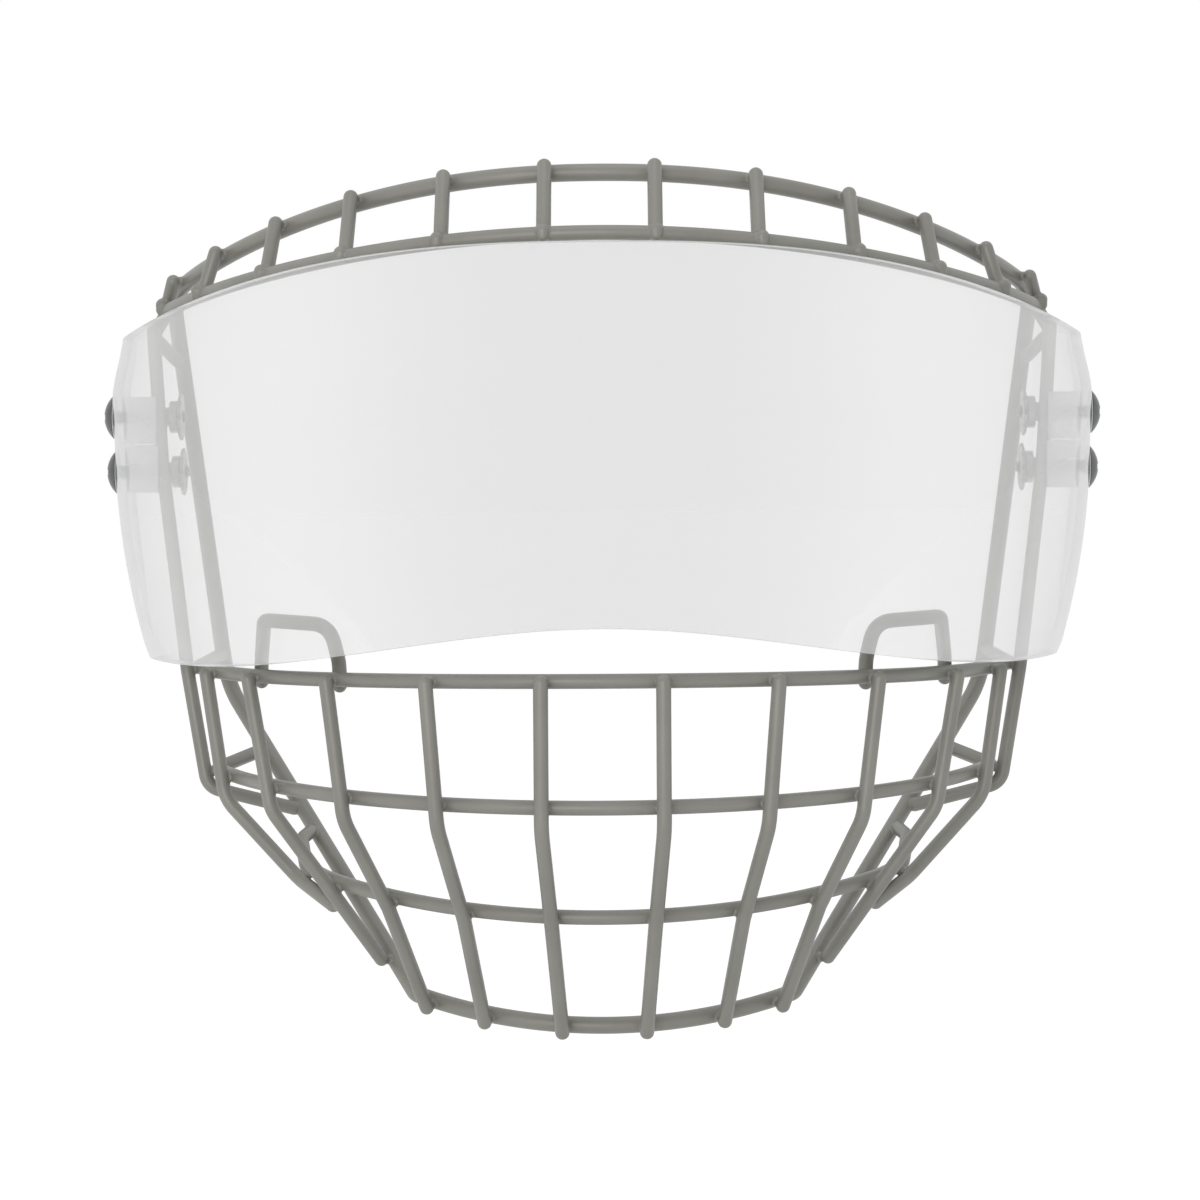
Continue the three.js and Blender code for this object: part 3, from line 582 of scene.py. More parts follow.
def bevelled(width, segments, over_degrees, **settings):
    """Settings of a bevel of the edges that turn by more than an angle."""
    limit = {"limit_method": "ANGLE", "angle_limit": math.radians(over_degrees)}
    return "BEVEL", {"width": width * MM, "segments": segments, **limit, **settings}


def cut(mesh, cutter, *before):
    """The mesh after other modifiers, less the cutter. New faces keep the cutter's slots."""
    tool = bpy.data.objects.new("cutting_tool", cutter)
    bpy.context.scene.collection.objects.link(tool)
    less = ("BOOLEAN", {"operation": "DIFFERENCE", "solver": "EXACT", "object": tool})
    mesh = applied(mesh, *before, less)
    bpy.data.objects.remove(tool)
    return mesh


# Materials: noise scales are per metre, and the distances of bumps are in metres
METAL_ROUGH_SHARES = (0.8, 1.3)
METAL_WEAR_SHARES = (0.35, 0.75)


def material(name):
    mat = bpy.data.materials.new(name)
    mat.use_nodes = True
    tree = mat.node_tree
    tree.nodes.clear()
    return mat, tree


def node(tree, kind, **settings):
    made = tree.nodes.new(kind)
    for key, value in settings.items():
        if key in made.inputs:
            made.inputs[key].default_value = value
        else:
            setattr(made, key, value)
    return made


def srgb(r, g, b):
    """The linear colour of an sRGB one, by the curve of that standard."""
    parts = [c / 255 for c in (r, g, b)]
    line = [c / 12.92 if c <= 0.04045 else ((c + 0.055) / 1.055) ** 2.4 for c in parts]
    return (*line, 1)


def noise_node(tree, coords, scale, detail, roughness=0.5):
    made = node(tree, "ShaderNodeTexNoise", Scale=scale, Detail=detail, Roughness=roughness)
    tree.links.new(coords, made.inputs["Vector"])
    return made.outputs["Fac"]


def shades(tree, value, dark, light, shares=(0.3, 0.7)):
    """A colour that goes from the dark to the light one between two shares of the value."""
    made = node(tree, "ShaderNodeValToRGB")
    for element, place, colour in zip(made.color_ramp.elements, shares, (dark, light)):
        element.position, element.color = place, srgb(*colour)
    tree.links.new(value, made.inputs["Fac"])
    return made.outputs["Color"]


def mapped(tree, value, low, high):
    made = node(tree, "ShaderNodeMapRange")
    made.inputs["To Min"].default_value, made.inputs["To Max"].default_value = low, high
    tree.links.new(value, made.inputs["Value"])
    return made.outputs["Result"]


def bumped(tree, value, strength, distance):
    made = node(tree, "ShaderNodeBump", Strength=strength, Distance=distance)
    tree.links.new(value, made.inputs["Height"])
    return made.outputs["Normal"]


def combined(tree, operation, first, second):
    made = node(tree, "ShaderNodeMath", operation=operation)
    tree.links.new(first, made.inputs[0])
    tree.links.new(second, made.inputs[1])
    return made.outputs[0]


def mixed(tree, share, first, second):
    """Two shaders mixed: the share of the second is a number or a node's output."""
    made = node(tree, "ShaderNodeMixShader")
    if isinstance(share, float):
        made.inputs["Fac"].default_value = share
    else:
        tree.links.new(share, made.inputs["Fac"])
    tree.links.new(first.outputs[0], made.inputs[1])
    tree.links.new(second.outputs[0], made.inputs[2])
    return made


def powder_coat():
    mat, tree = material("powder_coat")
    coords = node(tree, "ShaderNodeTexCoord").outputs["Object"]
    out = node(tree, "ShaderNodeOutputMaterial")
    shader = node(tree, "ShaderNodeBsdfPrincipled")
    shader.inputs["Specular IOR Level"].default_value = 0.85
    broad = noise_node(tree, coords, scale=60, detail=4)
    colour = shades(tree, broad, dark=(121, 120, 113), light=(131, 130, 123))
    tree.links.new(colour, shader.inputs["Base Color"])
    fine = noise_node(tree, coords, scale=2600, detail=2, roughness=0.6)
    peel = noise_node(tree, coords, scale=700, detail=2)
    tree.links.new(mapped(tree, fine, low=0.36, high=0.46), shader.inputs["Roughness"])
    height = combined(tree, "ADD", fine, peel)
    tree.links.new(bumped(tree, height, strength=0.25, distance=0.00006), shader.inputs["Normal"])
    tree.links.new(shader.outputs[0], out.inputs["Surface"])
    return mat


def by_facing(tree, head_on, at_edge, power):
    """A share that grows from the head-on value to the value at the edge of a clear surface."""
    facing = node(tree, "ShaderNodeLayerWeight", Blend=0.5).outputs["Facing"]
    raised = node(tree, "ShaderNodeMath", operation="POWER")
    tree.links.new(facing, raised.inputs[0])
    raised.inputs[1].default_value = power
    return mapped(tree, raised.outputs[0], head_on, at_edge)


def clear_plastic(name, tint, haze, edge_haze, haze_colour, roughness, head_on):
    """Clear plastic: light passes it, a share is scattered as haze, and its edges shine."""
    mat, tree = material(name)
    out = node(tree, "ShaderNodeOutputMaterial")
    coords = node(tree, "ShaderNodeTexCoord").outputs["Object"]
    passed = node(tree, "ShaderNodeBsdfTransparent", Color=srgb(*tint))
    scattered = node(tree, "ShaderNodeBsdfDiffuse", Color=srgb(*haze_colour))
    cloud = mapped(tree, noise_node(tree, coords, scale=14, detail=2), low=0.94, high=1.06)
    hazy = combined(tree, "MULTIPLY", cloud, by_facing(tree, haze, edge_haze, power=2))
    body = mixed(tree, hazy, passed, scattered)
    gloss = node(tree, "ShaderNodeBsdfGlossy", Roughness=roughness)
    shine = mixed(tree, by_facing(tree, head_on, at_edge=0.9, power=3), body, gloss)
    tree.links.new(shine.outputs[0], out.inputs["Surface"])
    return mat


def metal(name, colour, worn, roughness):
    mat, tree = material(name)
    out = node(tree, "ShaderNodeOutputMaterial")
    coords = node(tree, "ShaderNodeTexCoord").outputs["Object"]
    shader = node(tree, "ShaderNodeBsdfPrincipled")
    shader.inputs["Metallic"].default_value = 1.0
    blotch = noise_node(tree, coords, scale=420, detail=2)
    worn_colour = shades(tree, blotch, colour, worn, METAL_WEAR_SHARES)
    tree.links.new(worn_colour, shader.inputs["Base Color"])
    rough = mapped(tree, blotch, *(roughness * share for share in METAL_ROUGH_SHARES))
    tree.links.new(rough, shader.inputs["Roughness"])
    scratch = noise_node(tree, coords, scale=4200, detail=2)
    tree.links.new(bumped(tree, scratch, strength=0.06, distance=0.00002), shader.inputs["Normal"])
    tree.links.new(shader.outputs[0], out.inputs["Surface"])
    return mat


def milky_plastic():
    """White moulded plastic that lets some light straight through."""
    mat, tree = material("milky_plastic")
    out = node(tree, "ShaderNodeOutputMaterial")
    coords = node(tree, "ShaderNodeTexCoord").outputs["Object"]
    shader = node(tree, "ShaderNodeBsdfPrincipled")
    cloud = noise_node(tree, coords, scale=240, detail=3)
    colour = shades(tree, cloud, dark=(240, 240, 241), light=(247, 247, 248))
    tree.links.new(colour, shader.inputs["Base Color"])
    shader.inputs["Roughness"].default_value = 0.35
    passed = node(tree, "ShaderNodeBsdfTransparent", Color=srgb(246, 246, 247))
    body = mixed(tree, share=0.38, first=shader, second=passed)
    tree.links.new(body.outputs[0], out.inputs["Surface"])
    return mat


COAT = powder_coat()
VISOR_CLEAR = clear_plastic(
    "visor_clear",
    tint=(253, 253, 253),
    haze=0.12,
    edge_haze=0.34,
    haze_colour=(250, 250, 250),
    roughness=0.03,
    head_on=0.19,
)
# The rim's faces: whiter, hazier clear plastic, a painted highlight along the visor's cut edges
VISOR_RIM_PAINTED_GLOW = clear_plastic(
    "visor_rim_painted_glow",
    tint=(248, 249, 250),
    haze=0.6,
    edge_haze=0.8,
    haze_colour=(253, 253, 253),
    roughness=0.12,
    head_on=0.3,
)
# The rounded edges: a greyer tint, painted shade along the rounding of the visor's edges
VISOR_BEVEL_PAINTED_SHADE = clear_plastic(
    "visor_bevel_painted_shade",
    tint=(216, 215, 221),
    haze=0.4,
    edge_haze=0.6,
    haze_colour=(226, 225, 230),
    roughness=0.15,
    head_on=0.2,
)
WASHER_CLEAR = clear_plastic(
    "washer_clear",
    tint=(250, 250, 251),
    haze=0.4,
    edge_haze=0.6,
    haze_colour=(253, 253, 254),
    roughness=0.08,
    head_on=0.2,
)
DARK_STEEL = metal("dark_steel", (96, 99, 100), (108, 110, 109), roughness=0.34)
# Near-black steel for the faces of the screws' cross recesses: painted shade inside each recess
RECESS_PAINTED_SHADE = metal("recess_painted_shade", (38, 40, 42), (50, 52, 54), roughness=0.6)
ZINC = metal("zinc", (140, 139, 136), (152, 150, 146), roughness=0.3)
MILKY = milky_plastic()

# Wires
ROUND_ENDS = {"start": True, "end": True}
WIRES = {"perimeter_ring": (ring_path(), RING_R, {"closed": True})}
WIRES["lower_brow_wire"] = (lower_brow_path(), WIRE_R, ROUND_ENDS)
WIRES["upper_cage_wire"] = (upper_path(), WIRE_R, ROUND_ENDS)
WIRES["middle_cage_wire"] = (middle_path(), WIRE_R, ROUND_ENDS)
WIRES["lower_cage_wire"] = (lower_path(), WIRE_R, ROUND_ENDS)
PAIRED = {f"brow_tie_{i}": p for i, p in enumerate(tie_paths(), 1)}
PAIRED.update({f"upright_{i}": p for i, p in enumerate(upright_paths(), 1)})
PAIRED["side_wire"] = side_path()
PAIRED["visor_support_loop"] = loop_path()
for stem, path in PAIRED.items():
    WIRES[f"{stem}_left"] = (path, WIRE_R, ROUND_ENDS)
    WIRES[f"{stem}_right"] = ([flip(p) for p in path], WIRE_R, ROUND_ENDS)

for stem, (path, radius, ends) in WIRES.items():
    mesh = mesh_from(stem, *swept(path, radius, **ends))
    piece(f"{stem}_coated", mesh, COAT, nodes=[stem])

# Welds: the wires' short lengths beside each contact, run together and smoothed
CONTACT_STEP = 0.5
CONTACT_GAP = 2.5 * GAP
CONTACT_APART = 4 * WIRE_R
WELD_REACH = 3.4
WELD_STEP = 0.4
WELD_SIDES = 20
WELD_RINGS = 4
WELD_POINTS = 3
BEAD_R = 1.25
# Beads of a tie's foot: how far out and up from the contact, and the radius
FOOT_BEADS = [(1.5, 0.2, 1.75), (1.8, -1.0, 1.4)]
BEAD_FINENESS = 3
WELD_SHARP_DEGREES = 80
WELD_VOXEL = 0.2
WELD_MODIFIERS = (
    ("REMESH", {"mode": "VOXEL", "voxel_size": WELD_VOXEL * MM}),
    ("SMOOTH", {"factor": 0.5, "iterations": 22}),
    ("DECIMATE", {"ratio": 0.22}),
)


def dense(path, closed, step):
    pts = np.array(path + path[:1] if closed else path)
    length = np.concatenate([[0], np.cumsum(np.linalg.norm(np.diff(pts, axis=0), axis=1))])
    marks = np.linspace(0, length[-1], int(length[-1] / step) + 2)
    return np.stack([np.interp(marks, length, pts[:, k]) for k in range(3)], 1)


def contacts():
    """Places where two wires touch, as the middle of the contact and the two wires' names."""
    lines = {n: dense(p, e.get("closed", False), CONTACT_STEP) for n, (p, _, e) in WIRES.items()}
    names = list(lines)
    found = []
    for i, a in enumerate(names):
        for b in names[i + 1:]:
            first, second = WIRES[a][1], WIRES[b][1]
            limit = first + second + CONTACT_GAP
            apart = np.linalg.norm(lines[a][:, None] - lines[b][None], axis=2)
            while apart.min() < limit:
                m, n = np.unravel_index(apart.argmin(), apart.shape)
                spot = (lines[a][m] * second + lines[b][n] * first) / (first + second)
                found.append((spot, a, b))
                near = np.linalg.norm(lines[a] - lines[a][m], axis=1) < CONTACT_APART
                apart[near] = limit
    return found


def weld_lengths(spot, a, b):
    """The lengths of both wires beside a contact, as corners and faces."""
    parts = []
    for name in (a, b):
        path, radius, ends = WIRES[name]
        line = dense(path, ends.get("closed", False), WELD_STEP)
        near = np.flatnonzero(np.linalg.norm(line - spot, axis=1) < WELD_REACH)
        for run in np.split(near, np.flatnonzero(np.diff(near) > 1) + 1):
            if len(run) < WELD_POINTS:
                continue
            start = ends.get("start", False) and run[0] == 0
            end = ends.get("end", False) and run[-1] == len(line) - 1
            domes = {"start": start, "end": end, "rings": WELD_RINGS}
            parts.append(swept(list(line[run]), radius, sides=WELD_SIDES, **domes))
    return gathered(*parts)


def bead(centre, radius):
    ball = bmesh.new()
    bmesh.ops.create_icosphere(ball, subdivisions=BEAD_FINENESS, radius=radius)
    verts = [np.array(corner.co) + centre for corner in ball.verts]
    faces = [tuple(corner.index for corner in face.verts) for face in ball.faces]
    ball.free()
    return verts, faces


def welds():
    groups = {}
    for spot, a, b in contacts():
        host = a if not a.startswith("brow_tie") else b
        groups.setdefault(host, []).append((spot, a, b))
    for host, spots in groups.items():
        parts = []
        for spot, a, b in spots:
            parts += [weld_lengths(spot, a, b), bead(spot, BEAD_R)]
            if host == "lower_brow_wire" and b.startswith("brow_tie"):
                outward = unit(vec(*spot[:2], 0))
                for out, up, radius in FOOT_BEADS:
                    parts.append(bead(spot + outward * out + vec(0, 0, up), radius))
        mesh = applied(mesh_from("welds", *gathered(*parts)), *WELD_MODIFIERS)
        piece(f"welds_on_{host}", mesh, COAT, sharp=WELD_SHARP_DEGREES)


welds()

# Visor
ROWS = 44
COLUMNS = 150
SIDE_COLUMNS = 16
HOLE_EASE = 0.4
HOLE_SIDES = 32
HOLE_ENDS = (100, 130)
RIM_GLOW_SLOT = 1
BEVEL_SHADE_SLOT = 2
# The rounding of the rim takes the greyer plastic of the painted shade line
RIM_BEVEL = bevelled(width=0.45, segments=2, over_degrees=50, material=BEVEL_SHADE_SLOT)


def visor_mesh():
    """Both faces as grids of rows and columns, closed by a rim all round."""
    rows = [0.5 - 0.5 * math.cos(math.pi * r) for r in np.linspace(0, 1, ROWS + 1)]
    half = COLUMNS // 2
    front_columns = half - SIDE_COLUMNS
    verts = []
    for depth in (0, VISOR_T):
        for share in rows:
            level = lerp(TEMPLE_BOTTOM_Z, TEMPLE_TOP_Z, share)
            limit = across_at(rear_edge(share), level)
            knee = min(1, limit * front_columns / half)
            for column in range(COLUMNS + 1):
                away = abs(column - half)
                past = max(away - front_columns, 0) / SIDE_COLUMNS
                across = knee * min(away / front_columns, 1) + (limit - knee) * past
                across = math.copysign(across, column - half)
                side = math.sin(min(abs(across), 1) * math.pi / 2)
                height = lerp(bottom_edge(side), top_edge(side), share)
                verts.append(visor_face(across, height) - visor_normal(across, height) * depth)
    wide, tall = COLUMNS + 1, len(rows)

    def at(face, row, column):
        return (face * tall + row) * wide + column

    faces, rims = [], []
    for r in range(tall - 1):
        for c in range(COLUMNS):
            faces.append((at(0, r, c), at(0, r, c + 1), at(0, r + 1, c + 1), at(0, r + 1, c)))
            faces.append((at(1, r, c), at(1, r + 1, c), at(1, r + 1, c + 1), at(1, r, c + 1)))
    for c in range(COLUMNS):
        for r in (0, tall - 1):
            rims.append((at(0, r, c), at(1, r, c), at(1, r, c + 1), at(0, r, c + 1)))
    for r in range(tall - 1):
        for c in (0, COLUMNS):
            rims.append((at(0, r, c), at(0, r + 1, c), at(1, r + 1, c), at(1, r, c)))
    mesh = mesh_from("visor", verts, faces + rims)
    # The rim's faces take the whiter plastic of the painted edge highlight
    for face in list(mesh.polygons)[len(faces):]:
        face.material_index = RIM_GLOW_SLOT
    return mesh


def cylinder(radius, start, end, level):
    """A bar along the X axis at a level, for cutting a hole."""
    spokes = [2 * math.pi * k / HOLE_SIDES for k in range(HOLE_SIDES)]
    verts = []
    for x in (start, end):
        verts += [vec(x, radius * math.cos(a), level + radius * math.sin(a)) for a in spokes]
    faces = [tuple(range(HOLE_SIDES)), tuple(range(HOLE_SIDES, 2 * HOLE_SIDES))]
    for k in range(HOLE_SIDES):
        n = (k + 1) % HOLE_SIDES
        faces.append((k, n, HOLE_SIDES + n, HOLE_SIDES + k))
    return verts, faces


def visor():
    mesh = visor_mesh()
    # Slots: the clear body, the rim's painted highlight and the painted shade on the rim's rounding
    for each in (VISOR_CLEAR, VISOR_RIM_PAINTED_GLOW, VISOR_BEVEL_PAINTED_SHADE):
        mesh.materials.append(each)
    holes = []
    for sign in SIDES.values():
        start, end = (sign * x for x in HOLE_ENDS)
        for level in (-SCREW_SPACING / 2, SCREW_SPACING / 2):
            holes.append(cylinder(SCREW_D / 2 + HOLE_EASE, start, end, level))
    mesh = cut(mesh, mesh_from("hole_tool", *gathered(*holes)), RIM_BEVEL)
    piece("visor_shell", mesh, None, nodes=["visor"])


visor()

# Hardware: the stack along the X axis
HEAD_R = 5.35
HEAD_HIGH = 2.4
CLEAR_WASHER_R = 5.6
WASHER_SPAN_SHARES = [-1, -0.5, 0, 0.5, 1]
INNER_WASHER_R = 4.0
INNER_WASHER_T = 2
FLANGE_T = 1
# The clear washer fills most of the gap that the head stands off the visor
WASHER_FILL_SHARE = 0.9
HEAD_LIFT_SHARE = 0.1
TURNED_SIDES = 48
# Corners this close, in metres, are one
SAME_PLACE = 1e-7

# Screws
SCREW_SIDES = 56
SCREW_SHARP_DEGREES = 35
TIP_PAST = 1
TIP_LONG = 0.35
TIP_R = 0.9
SHOULDER_R = 1.25
THREAD_R = 1.5
THREAD_ROOT_R = 1.22
THREAD_PITCH = 0.5
# Places along a turn of the thread, and the radii there
THREAD_TURN_SHARES = (0.25, 0.4, 0.9)
THREAD_TURN_RADII = (THREAD_R, THREAD_R, THREAD_ROOT_R)
SHANK_PLAIN = 1.2
HEAD_EDGE = 0.12
HEAD_UNDERCUT = 0.2
HEAD_STEPS = 14
RECESS_DEEP = 1.7
RECESS_ARM = 2.7
RECESS_HALF_WIDE = 0.7
# Rises from the recess's floor, and how wide it is there
RECESS_RISES = (0, RECESS_DEEP, 3)
RECESS_WIDTH_SHARES = (0.6, 1.0, 1.2)
# The slot of the near-black steel that paints shade on the recess's faces
RECESS_SHADE_SLOT = 1

# Washers
CLEAR_BORE_R = 1.9
CLEAR_LOW_EDGE = 0.1
CLEAR_HIGH_EDGE = 0.2
INNER_BORE_R = 2.7
INNER_BORE_EDGE = 0.15
INNER_RIM_EDGE = 0.2

# T-nut outline: radii, with places from the flange's start, its end and the barrel's end
NUT_LOW = [(1.8, 0.1), (2.0, 0), (5.0, 0), (5.8, 0.15), (5.9, 0.4)]
NUT_HIGH = [(5.8, -0.1), (5.5, 0), (2.7, 0), (2.4, 0.3)]
NUT_END = [(2.4, -0.2), (2.2, 0), (1.8, 0)]
NUT_SIDES = 60
TEETH = 10
TOOTH_ROOT_R = 4.9
TOOTH_SHARE = 0.16
TOOTH_POWER = 3

# Spacer blocks
SPACER_BEVEL = bevelled(width=0.3, segments=3, over_degrees=40)
SPACER_FLAT_DEGREES = 1
SPACER_SHARP_DEGREES = 30
SPACER_SAME_PLACE = 1e-6


def turned(profile, sides=TURNED_SIDES):
    """Corners and faces of a closed profile of radius and place, turned about the X axis."""
    verts, faces = [], []
    count = len(profile)
    for k in range(sides):
        a = 2 * math.pi * k / sides
        verts += [vec(x, r * math.cos(a), r * math.sin(a)) for r, x in profile]
    for k in range(sides):
        n = (k + 1) % sides
        for i in range(count):
            j = (i + 1) % count
            faces.append((k * count + i, k * count + j, n * count + j, n * count + i))
    return verts, faces


def cleaned(mesh):
    bm = bmesh.new()
    bm.from_mesh(mesh)
    bmesh.ops.remove_doubles(bm, verts=bm.verts, dist=SAME_PLACE)
    bmesh.ops.dissolve_degenerate(bm, edges=bm.edges, dist=SAME_PLACE)
    bmesh.ops.recalc_face_normals(bm, faces=bm.faces)
    bm.to_mesh(mesh)
    bm.free()
    return mesh


def stack_at(level):
    """Where each piece of a mounting starts and ends along the X axis."""
    edges = [side_wire_at(level + s * INNER_WASHER_R) for s in (-1, 1)]
    lean = math.hypot(1, (SIDE_TOP[0] - SIDE_BEND[0]) / (SIDE_TOP[1] - SIDE_BEND[1]))
    washer_out = min(edges) - WIRE_R * lean - GAP
    flange_out = washer_out - INNER_WASHER_T - GAP
    widths = [half_width(level + s * CLEAR_WASHER_R) for s in WASHER_SPAN_SHARES]
    clear_in = max(widths) + GAP
    return {
        "washer": (washer_out - INNER_WASHER_T, washer_out),
        "flange": (flange_out - FLANGE_T, flange_out),
        "clear": (clear_in - GAP * WASHER_FILL_SHARE, clear_in),
        "head": clear_in + GAP * HEAD_LIFT_SHARE,
    }


def placed(mesh, side, level):
    flipping = Matrix.Scale(side, 4, (1, 0, 0)) if side < 0 else Matrix.Identity(4)
    mesh.transform(Matrix.Translation((0, 0, level * MM)) @ flipping)
    if side < 0:
        mesh.flip_normals()
    return mesh


def recess_cutter(floor):
    """A cross that widens from the recess's floor outward."""
    verts = []
    for rise, share in zip(RECESS_RISES, RECESS_WIDTH_SHARES):
        arm, wide = RECESS_ARM * share, RECESS_HALF_WIDE * share
        for turn in range(4):
            angle = turn * math.pi / 2
            for along, aside in ((arm, -wide), (arm, wide), (wide, wide)):
                y = along * math.cos(angle) - aside * math.sin(angle)
                z = along * math.sin(angle) + aside * math.cos(angle)
                verts.append(vec(floor + rise, y, z))
    ring = len(verts) // len(RECESS_RISES)
    faces = [tuple(range(ring)), tuple(range(len(verts) - ring, len(verts)))]
    for low in range(0, len(verts) - ring, ring):
        for i in range(ring):
            n = (i + 1) % ring
            faces.append((low + i, low + n, low + ring + n, low + ring + i))
    return cleaned(mesh_from("recess_tool", verts, faces))


def screw_mesh(stack):
    head = stack["head"]
    tip = stack["flange"][0] - TIP_PAST
    place = tip + TIP_LONG
    profile = [(0, tip), (TIP_R, tip), (SHOULDER_R, place)]
    while place + THREAD_PITCH < stack["clear"][0] - SHANK_PLAIN:
        for share, radius in zip(THREAD_TURN_SHARES, THREAD_TURN_RADII):
            profile.append((radius, place + share * THREAD_PITCH))
        place += THREAD_PITCH
    profile += [(THREAD_R, place + THREAD_PITCH), (THREAD_R, head)]
    profile += [(HEAD_R - HEAD_UNDERCUT, head), (HEAD_R, head + HEAD_EDGE)]
    cap = HEAD_HIGH - HEAD_EDGE
    curve = (HEAD_R * HEAD_R + cap * cap) / (2 * cap)
    for k in range(1, HEAD_STEPS + 1):
        radius = HEAD_R * math.cos(k / HEAD_STEPS * math.pi / 2)
        rise = HEAD_HIGH - curve + math.sqrt(curve * curve - radius * radius)
        profile.append((radius, head + rise))
    mesh = cleaned(mesh_from("screw", *turned(profile, SCREW_SIDES)))
    # The cut faces take the near-black steel, which paints shade into the recess
    cutter = recess_cutter(head + HEAD_HIGH - RECESS_DEEP)
    for each in (mesh, cutter):
        each.materials.append(DARK_STEEL)
        each.materials.append(RECESS_PAINTED_SHADE)
    cutter.polygons.foreach_set("material_index", [RECESS_SHADE_SLOT] * len(cutter.polygons))
    return cut(mesh, cutter)


def clear_washer_mesh(stack):
    low, high = stack["clear"]
    bore, wide = CLEAR_BORE_R, CLEAR_WASHER_R
    profile = [(bore, low), (wide - CLEAR_LOW_EDGE, low), (wide, low + CLEAR_LOW_EDGE)]
    profile += [(wide - CLEAR_HIGH_EDGE, high), (bore, high)]
    return cleaned(mesh_from("clear_washer", *turned(profile)))


def inner_washer_mesh(stack):
    low, high = stack["washer"]
    bore, wide = INNER_BORE_R, INNER_WASHER_R
    profile = [(bore, low + INNER_BORE_EDGE), (bore + INNER_BORE_EDGE, low)]
    profile += [(wide - INNER_RIM_EDGE, low), (wide, low + INNER_RIM_EDGE)]
    profile += [(wide, high - INNER_RIM_EDGE), (wide - INNER_RIM_EDGE, high)]
    profile += [(bore + INNER_BORE_EDGE, high), (bore, high - INNER_BORE_EDGE)]
    return cleaned(mesh_from("inner_washer", *turned(profile)))


def tee_nut_mesh(stack):
    """A flange with a toothed rim, and a plain barrel that reaches into the spacer."""
    low, high = stack["flange"]
    end = SPACER_INNER + BARREL_REACH - SPACER_DEPTH / 2
    parts = ((low, NUT_LOW), (high, NUT_HIGH), (end, NUT_END))
    profile = [(radius, base + place) for base, steps in parts for radius, place in steps]
    verts, faces = turned(profile, NUT_SIDES)
    for v in verts:
        if math.hypot(v[1], v[2]) > TOOTH_ROOT_R:
            angle = math.atan2(v[2], v[1])
            notch = max(0, math.cos(TEETH * angle)) ** TOOTH_POWER
            v[1:] *= 1 - TOOTH_SHARE * notch
    return cleaned(mesh_from("t_nut", verts, faces))


def spacer_mesh(name):
    """The CAD block with its edges rounded over."""
    mesh = frame["nodes"][name].data.copy()
    flat = math.radians(SPACER_FLAT_DEGREES)
    bm = bmesh.new()
    bm.from_mesh(mesh)
    bmesh.ops.remove_doubles(bm, verts=bm.verts, dist=SPACER_SAME_PLACE)
    bmesh.ops.dissolve_limit(bm, angle_limit=flat, verts=bm.verts, edges=bm.edges)
    bm.to_mesh(mesh)
    bm.free()
    return applied(mesh, SPACER_BEVEL)


def mounting(place, side, level, stack):
    """The screw, clear washer, inner washer, T-nut and spacer block at one screw."""
    tag = f"{place}_{side}"
    screw, clear, inner = f"visor_screw_{tag}", f"clear_washer_{tag}", f"inner_washer_{tag}"
    nut, block = f"t_nut_{tag}", f"spacer_{tag}"
    mesh = placed(screw_mesh(stack), SIDES[side], level)
    sharp, body = SCREW_SHARP_DEGREES, f"{screw}_body"
    piece(f"screw_{tag}_turned", mesh, None, body, nodes=[screw], sharp=sharp)
    mesh = placed(clear_washer_mesh(stack), SIDES[side], level)
    piece(f"{clear}_turned", mesh, WASHER_CLEAR, nodes=[clear])
    mesh = placed(inner_washer_mesh(stack), SIDES[side], level)
    piece(f"{inner}_turned", mesh, ZINC, nodes=[inner])
    mesh = placed(tee_nut_mesh(stack), SIDES[side], level)
    piece(f"{nut}_toothed", mesh, ZINC, nodes=[nut])
    mesh, sharp = spacer_mesh(block), SPACER_SHARP_DEGREES
    piece(f"{block}_moulded", mesh, MILKY, nodes=[block], sharp=sharp)


def hardware():
    for place, sign in (("upper", 1), ("lower", -1)):
        level = sign * SCREW_SPACING / 2
        stack = stack_at(level)
        for side in SIDES:
            mounting(place, side, level, stack)


hardware()

# Camera
YAW, PITCH, ROLL = (math.radians(a) for a in (0.25, 3.0, -0.35))
CAMERA_AT = vec(3.6, -1014, 13.5)
FOCAL_PIXELS = 4050
FRAME_PIXELS = 1200
CLIP_START, CLIP_END = 0.01, 100


def camera():
    right = vec(math.cos(YAW), math.sin(YAW), 0)
    level = vec(-math.sin(YAW), math.cos(YAW), 0)
    up = vec(0, 0, 1)
    ahead = level * math.cos(PITCH) - up * math.sin(PITCH)
    above = up * math.cos(PITCH) + level * math.sin(PITCH)
    across = right * math.cos(ROLL) + above * math.sin(ROLL)
    above = above * math.cos(ROLL) - right * math.sin(ROLL)
    made = bpy.data.objects.new("camera", bpy.data.cameras.new("camera"))
    bpy.context.scene.collection.objects.link(made)
    turn = Matrix((across, above, -ahead)).transposed().to_4x4()
    made.matrix_world = Matrix.Translation(Vector(CAMERA_AT * MM)) @ turn
    made.data.sensor_fit = "HORIZONTAL"
    made.data.angle = 2 * math.atan(FRAME_PIXELS / 2 / FOCAL_PIXELS)
    made.data.clip_start, made.data.clip_end = CLIP_START, CLIP_END
    bpy.context.scene.camera = made


camera()

# Light, floor and background, in metres
STUDIO_STRENGTH = 0.72
FRONT_STRENGTH = 0.64
FRONT_ENDS = (-1.0, 0.1)
FLOOR_SHADE = 0.8
FLOOR_GLOW = 0.44
FLOOR_HALF = 6
FLOOR_Z = -0.2
LAMP_TARGET = (0, -0.03, -0.03)
SHEEN_WAY = (0.3, 1.2, -0.1)


def brighter_where_seen(tree, lit, seen=1.0):
    """A strength for rays from the camera, in mirrors and through glass, and a lower one else."""
    path = node(tree, "ShaderNodeLightPath").outputs
    seen_or_mirrored = combined(tree, "MAXIMUM", path["Is Camera Ray"], path["Is Glossy Ray"])
    any_of_them = combined(tree, "MAXIMUM", seen_or_mirrored, path["Is Transmission Ray"])
    return mapped(tree, any_of_them, lit, seen)


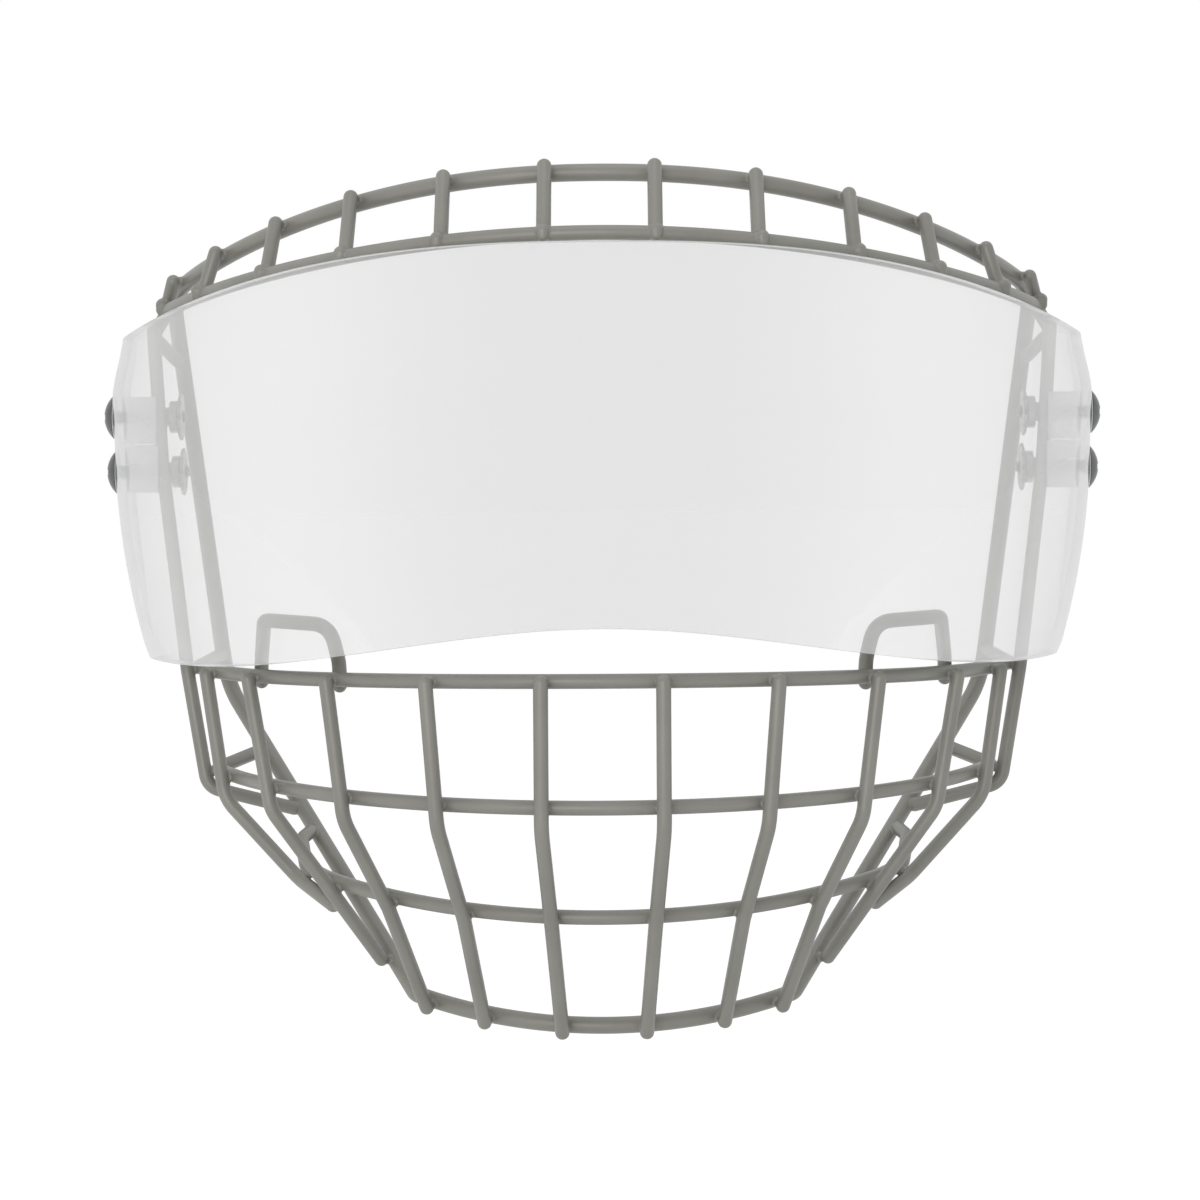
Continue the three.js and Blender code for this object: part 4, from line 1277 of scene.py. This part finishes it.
def world():
    """An even studio. Its front, behind the camera, is a little dimmer in mirrors."""
    made = bpy.data.worlds.new("studio")
    bpy.context.scene.world = made
    made.use_nodes = True
    tree = made.node_tree
    tree.nodes.clear()
    back = node(tree, "ShaderNodeBackground", Color=(1, 1, 1, 1))
    out = node(tree, "ShaderNodeOutputWorld")
    split = node(tree, "ShaderNodeSeparateXYZ")
    tree.links.new(node(tree, "ShaderNodeTexCoord").outputs["Generated"], split.inputs[0])
    dim = node(tree, "ShaderNodeMapRange", interpolation_type="SMOOTHSTEP")
    for socket, value in zip(dim.inputs[1:5], (*FRONT_ENDS, FRONT_STRENGTH, 1.0)):
        socket.default_value = value
    tree.links.new(split.outputs["Y"], dim.inputs["Value"])
    mirrored = node(tree, "ShaderNodeMix", data_type="FLOAT")
    gloss = node(tree, "ShaderNodeLightPath").outputs["Is Glossy Ray"]
    tree.links.new(gloss, mirrored.inputs[0])
    mirrored.inputs[2].default_value = 1.0
    tree.links.new(dim.outputs["Result"], mirrored.inputs[3])
    even = brighter_where_seen(tree, STUDIO_STRENGTH)
    strength = combined(tree, "MULTIPLY", even, mirrored.outputs[0])
    tree.links.new(strength, back.inputs["Strength"])
    tree.links.new(back.outputs[0], out.inputs["Surface"])


def facing(direction):
    return direction.to_track_quat("-Z", "Y").to_euler()


def lamp(name, place, size, power, colour, mirrored=False, only=None):
    """An oval lamp, seen in mirrors or not, that lights every piece or only one collection."""
    data = bpy.data.lights.new(name, "AREA")
    data.shape, data.energy, data.color = "ELLIPSE", power, colour
    data.size, data.size_y = size
    made = bpy.data.objects.new(name, data)
    bpy.context.scene.collection.objects.link(made)
    made.location = place
    made.visible_glossy = mirrored
    made.light_linking.receiver_collection = only
    made.rotation_euler = facing(Vector(LAMP_TARGET) - Vector(place))


def sheen(power, degrees, colour):
    """A broad far light that only the wires mirror, as they mirror the studio's front."""
    data = bpy.data.lights.new("sheen", "SUN")
    data.energy, data.angle, data.color = power, math.radians(degrees), colour
    made = bpy.data.objects.new("sheen", data)
    bpy.context.scene.collection.objects.link(made)
    made.light_linking.receiver_collection = COATED
    made.rotation_euler = facing(Vector(SHEEN_WAY))


def floor():
    mat, tree = material("pale_floor")
    out = node(tree, "ShaderNodeOutputMaterial")
    shade = (FLOOR_SHADE, FLOOR_SHADE, FLOOR_SHADE, 1)
    diffuse = node(tree, "ShaderNodeBsdfDiffuse", Color=shade)
    glow = node(tree, "ShaderNodeEmission", Color=(1, 1, 1, 1))
    tree.links.new(brighter_where_seen(tree, 0.0, FLOOR_GLOW), glow.inputs["Strength"])
    both = node(tree, "ShaderNodeAddShader")
    tree.links.new(diffuse.outputs[0], both.inputs[0])
    tree.links.new(glow.outputs[0], both.inputs[1])
    tree.links.new(both.outputs[0], out.inputs["Surface"])
    corners = [(x * FLOOR_HALF, y * FLOOR_HALF) for x, y in ((-1, -1), (1, -1), (1, 1), (-1, 1))]
    mesh = bpy.data.meshes.new("floor")
    mesh.from_pydata([(x, y, FLOOR_Z) for x, y in corners], [], [(0, 1, 2, 3)])
    made = bpy.data.objects.new("floor", mesh)
    bpy.context.scene.collection.objects.link(made)
    mesh.materials.append(mat)


world()
floor()
lamp("key", place=(-0.9, -0.8, 0.1), size=(0.5, 0.4), power=1.0, colour=(1.0, 0.98, 0.95))
lamp("front", place=(-0.3, -1.2, 0.1), size=(1.0, 0.5), power=1.2, colour=(1.0, 0.99, 0.97))
lamp("fill", place=(1.05, -0.3, 0.15), size=(0.6, 0.5), power=1.2, colour=(0.92, 0.96, 1.0), only=OTHERS)
lamp("back", place=(0.5, 1.1, 0.3), size=(0.9, 0.9), power=2.4, colour=(1.0, 1.0, 1.0), only=OTHERS)
lamp("top", place=(0.0, -0.25, 1.2), size=(0.6, 0.6), power=1.0, colour=(1.0, 1.0, 1.0), mirrored=True)
sheen(power=0.8, degrees=30, colour=(1.0, 0.99, 0.97))

bpy.context.scene.view_settings.view_transform = "Standard"
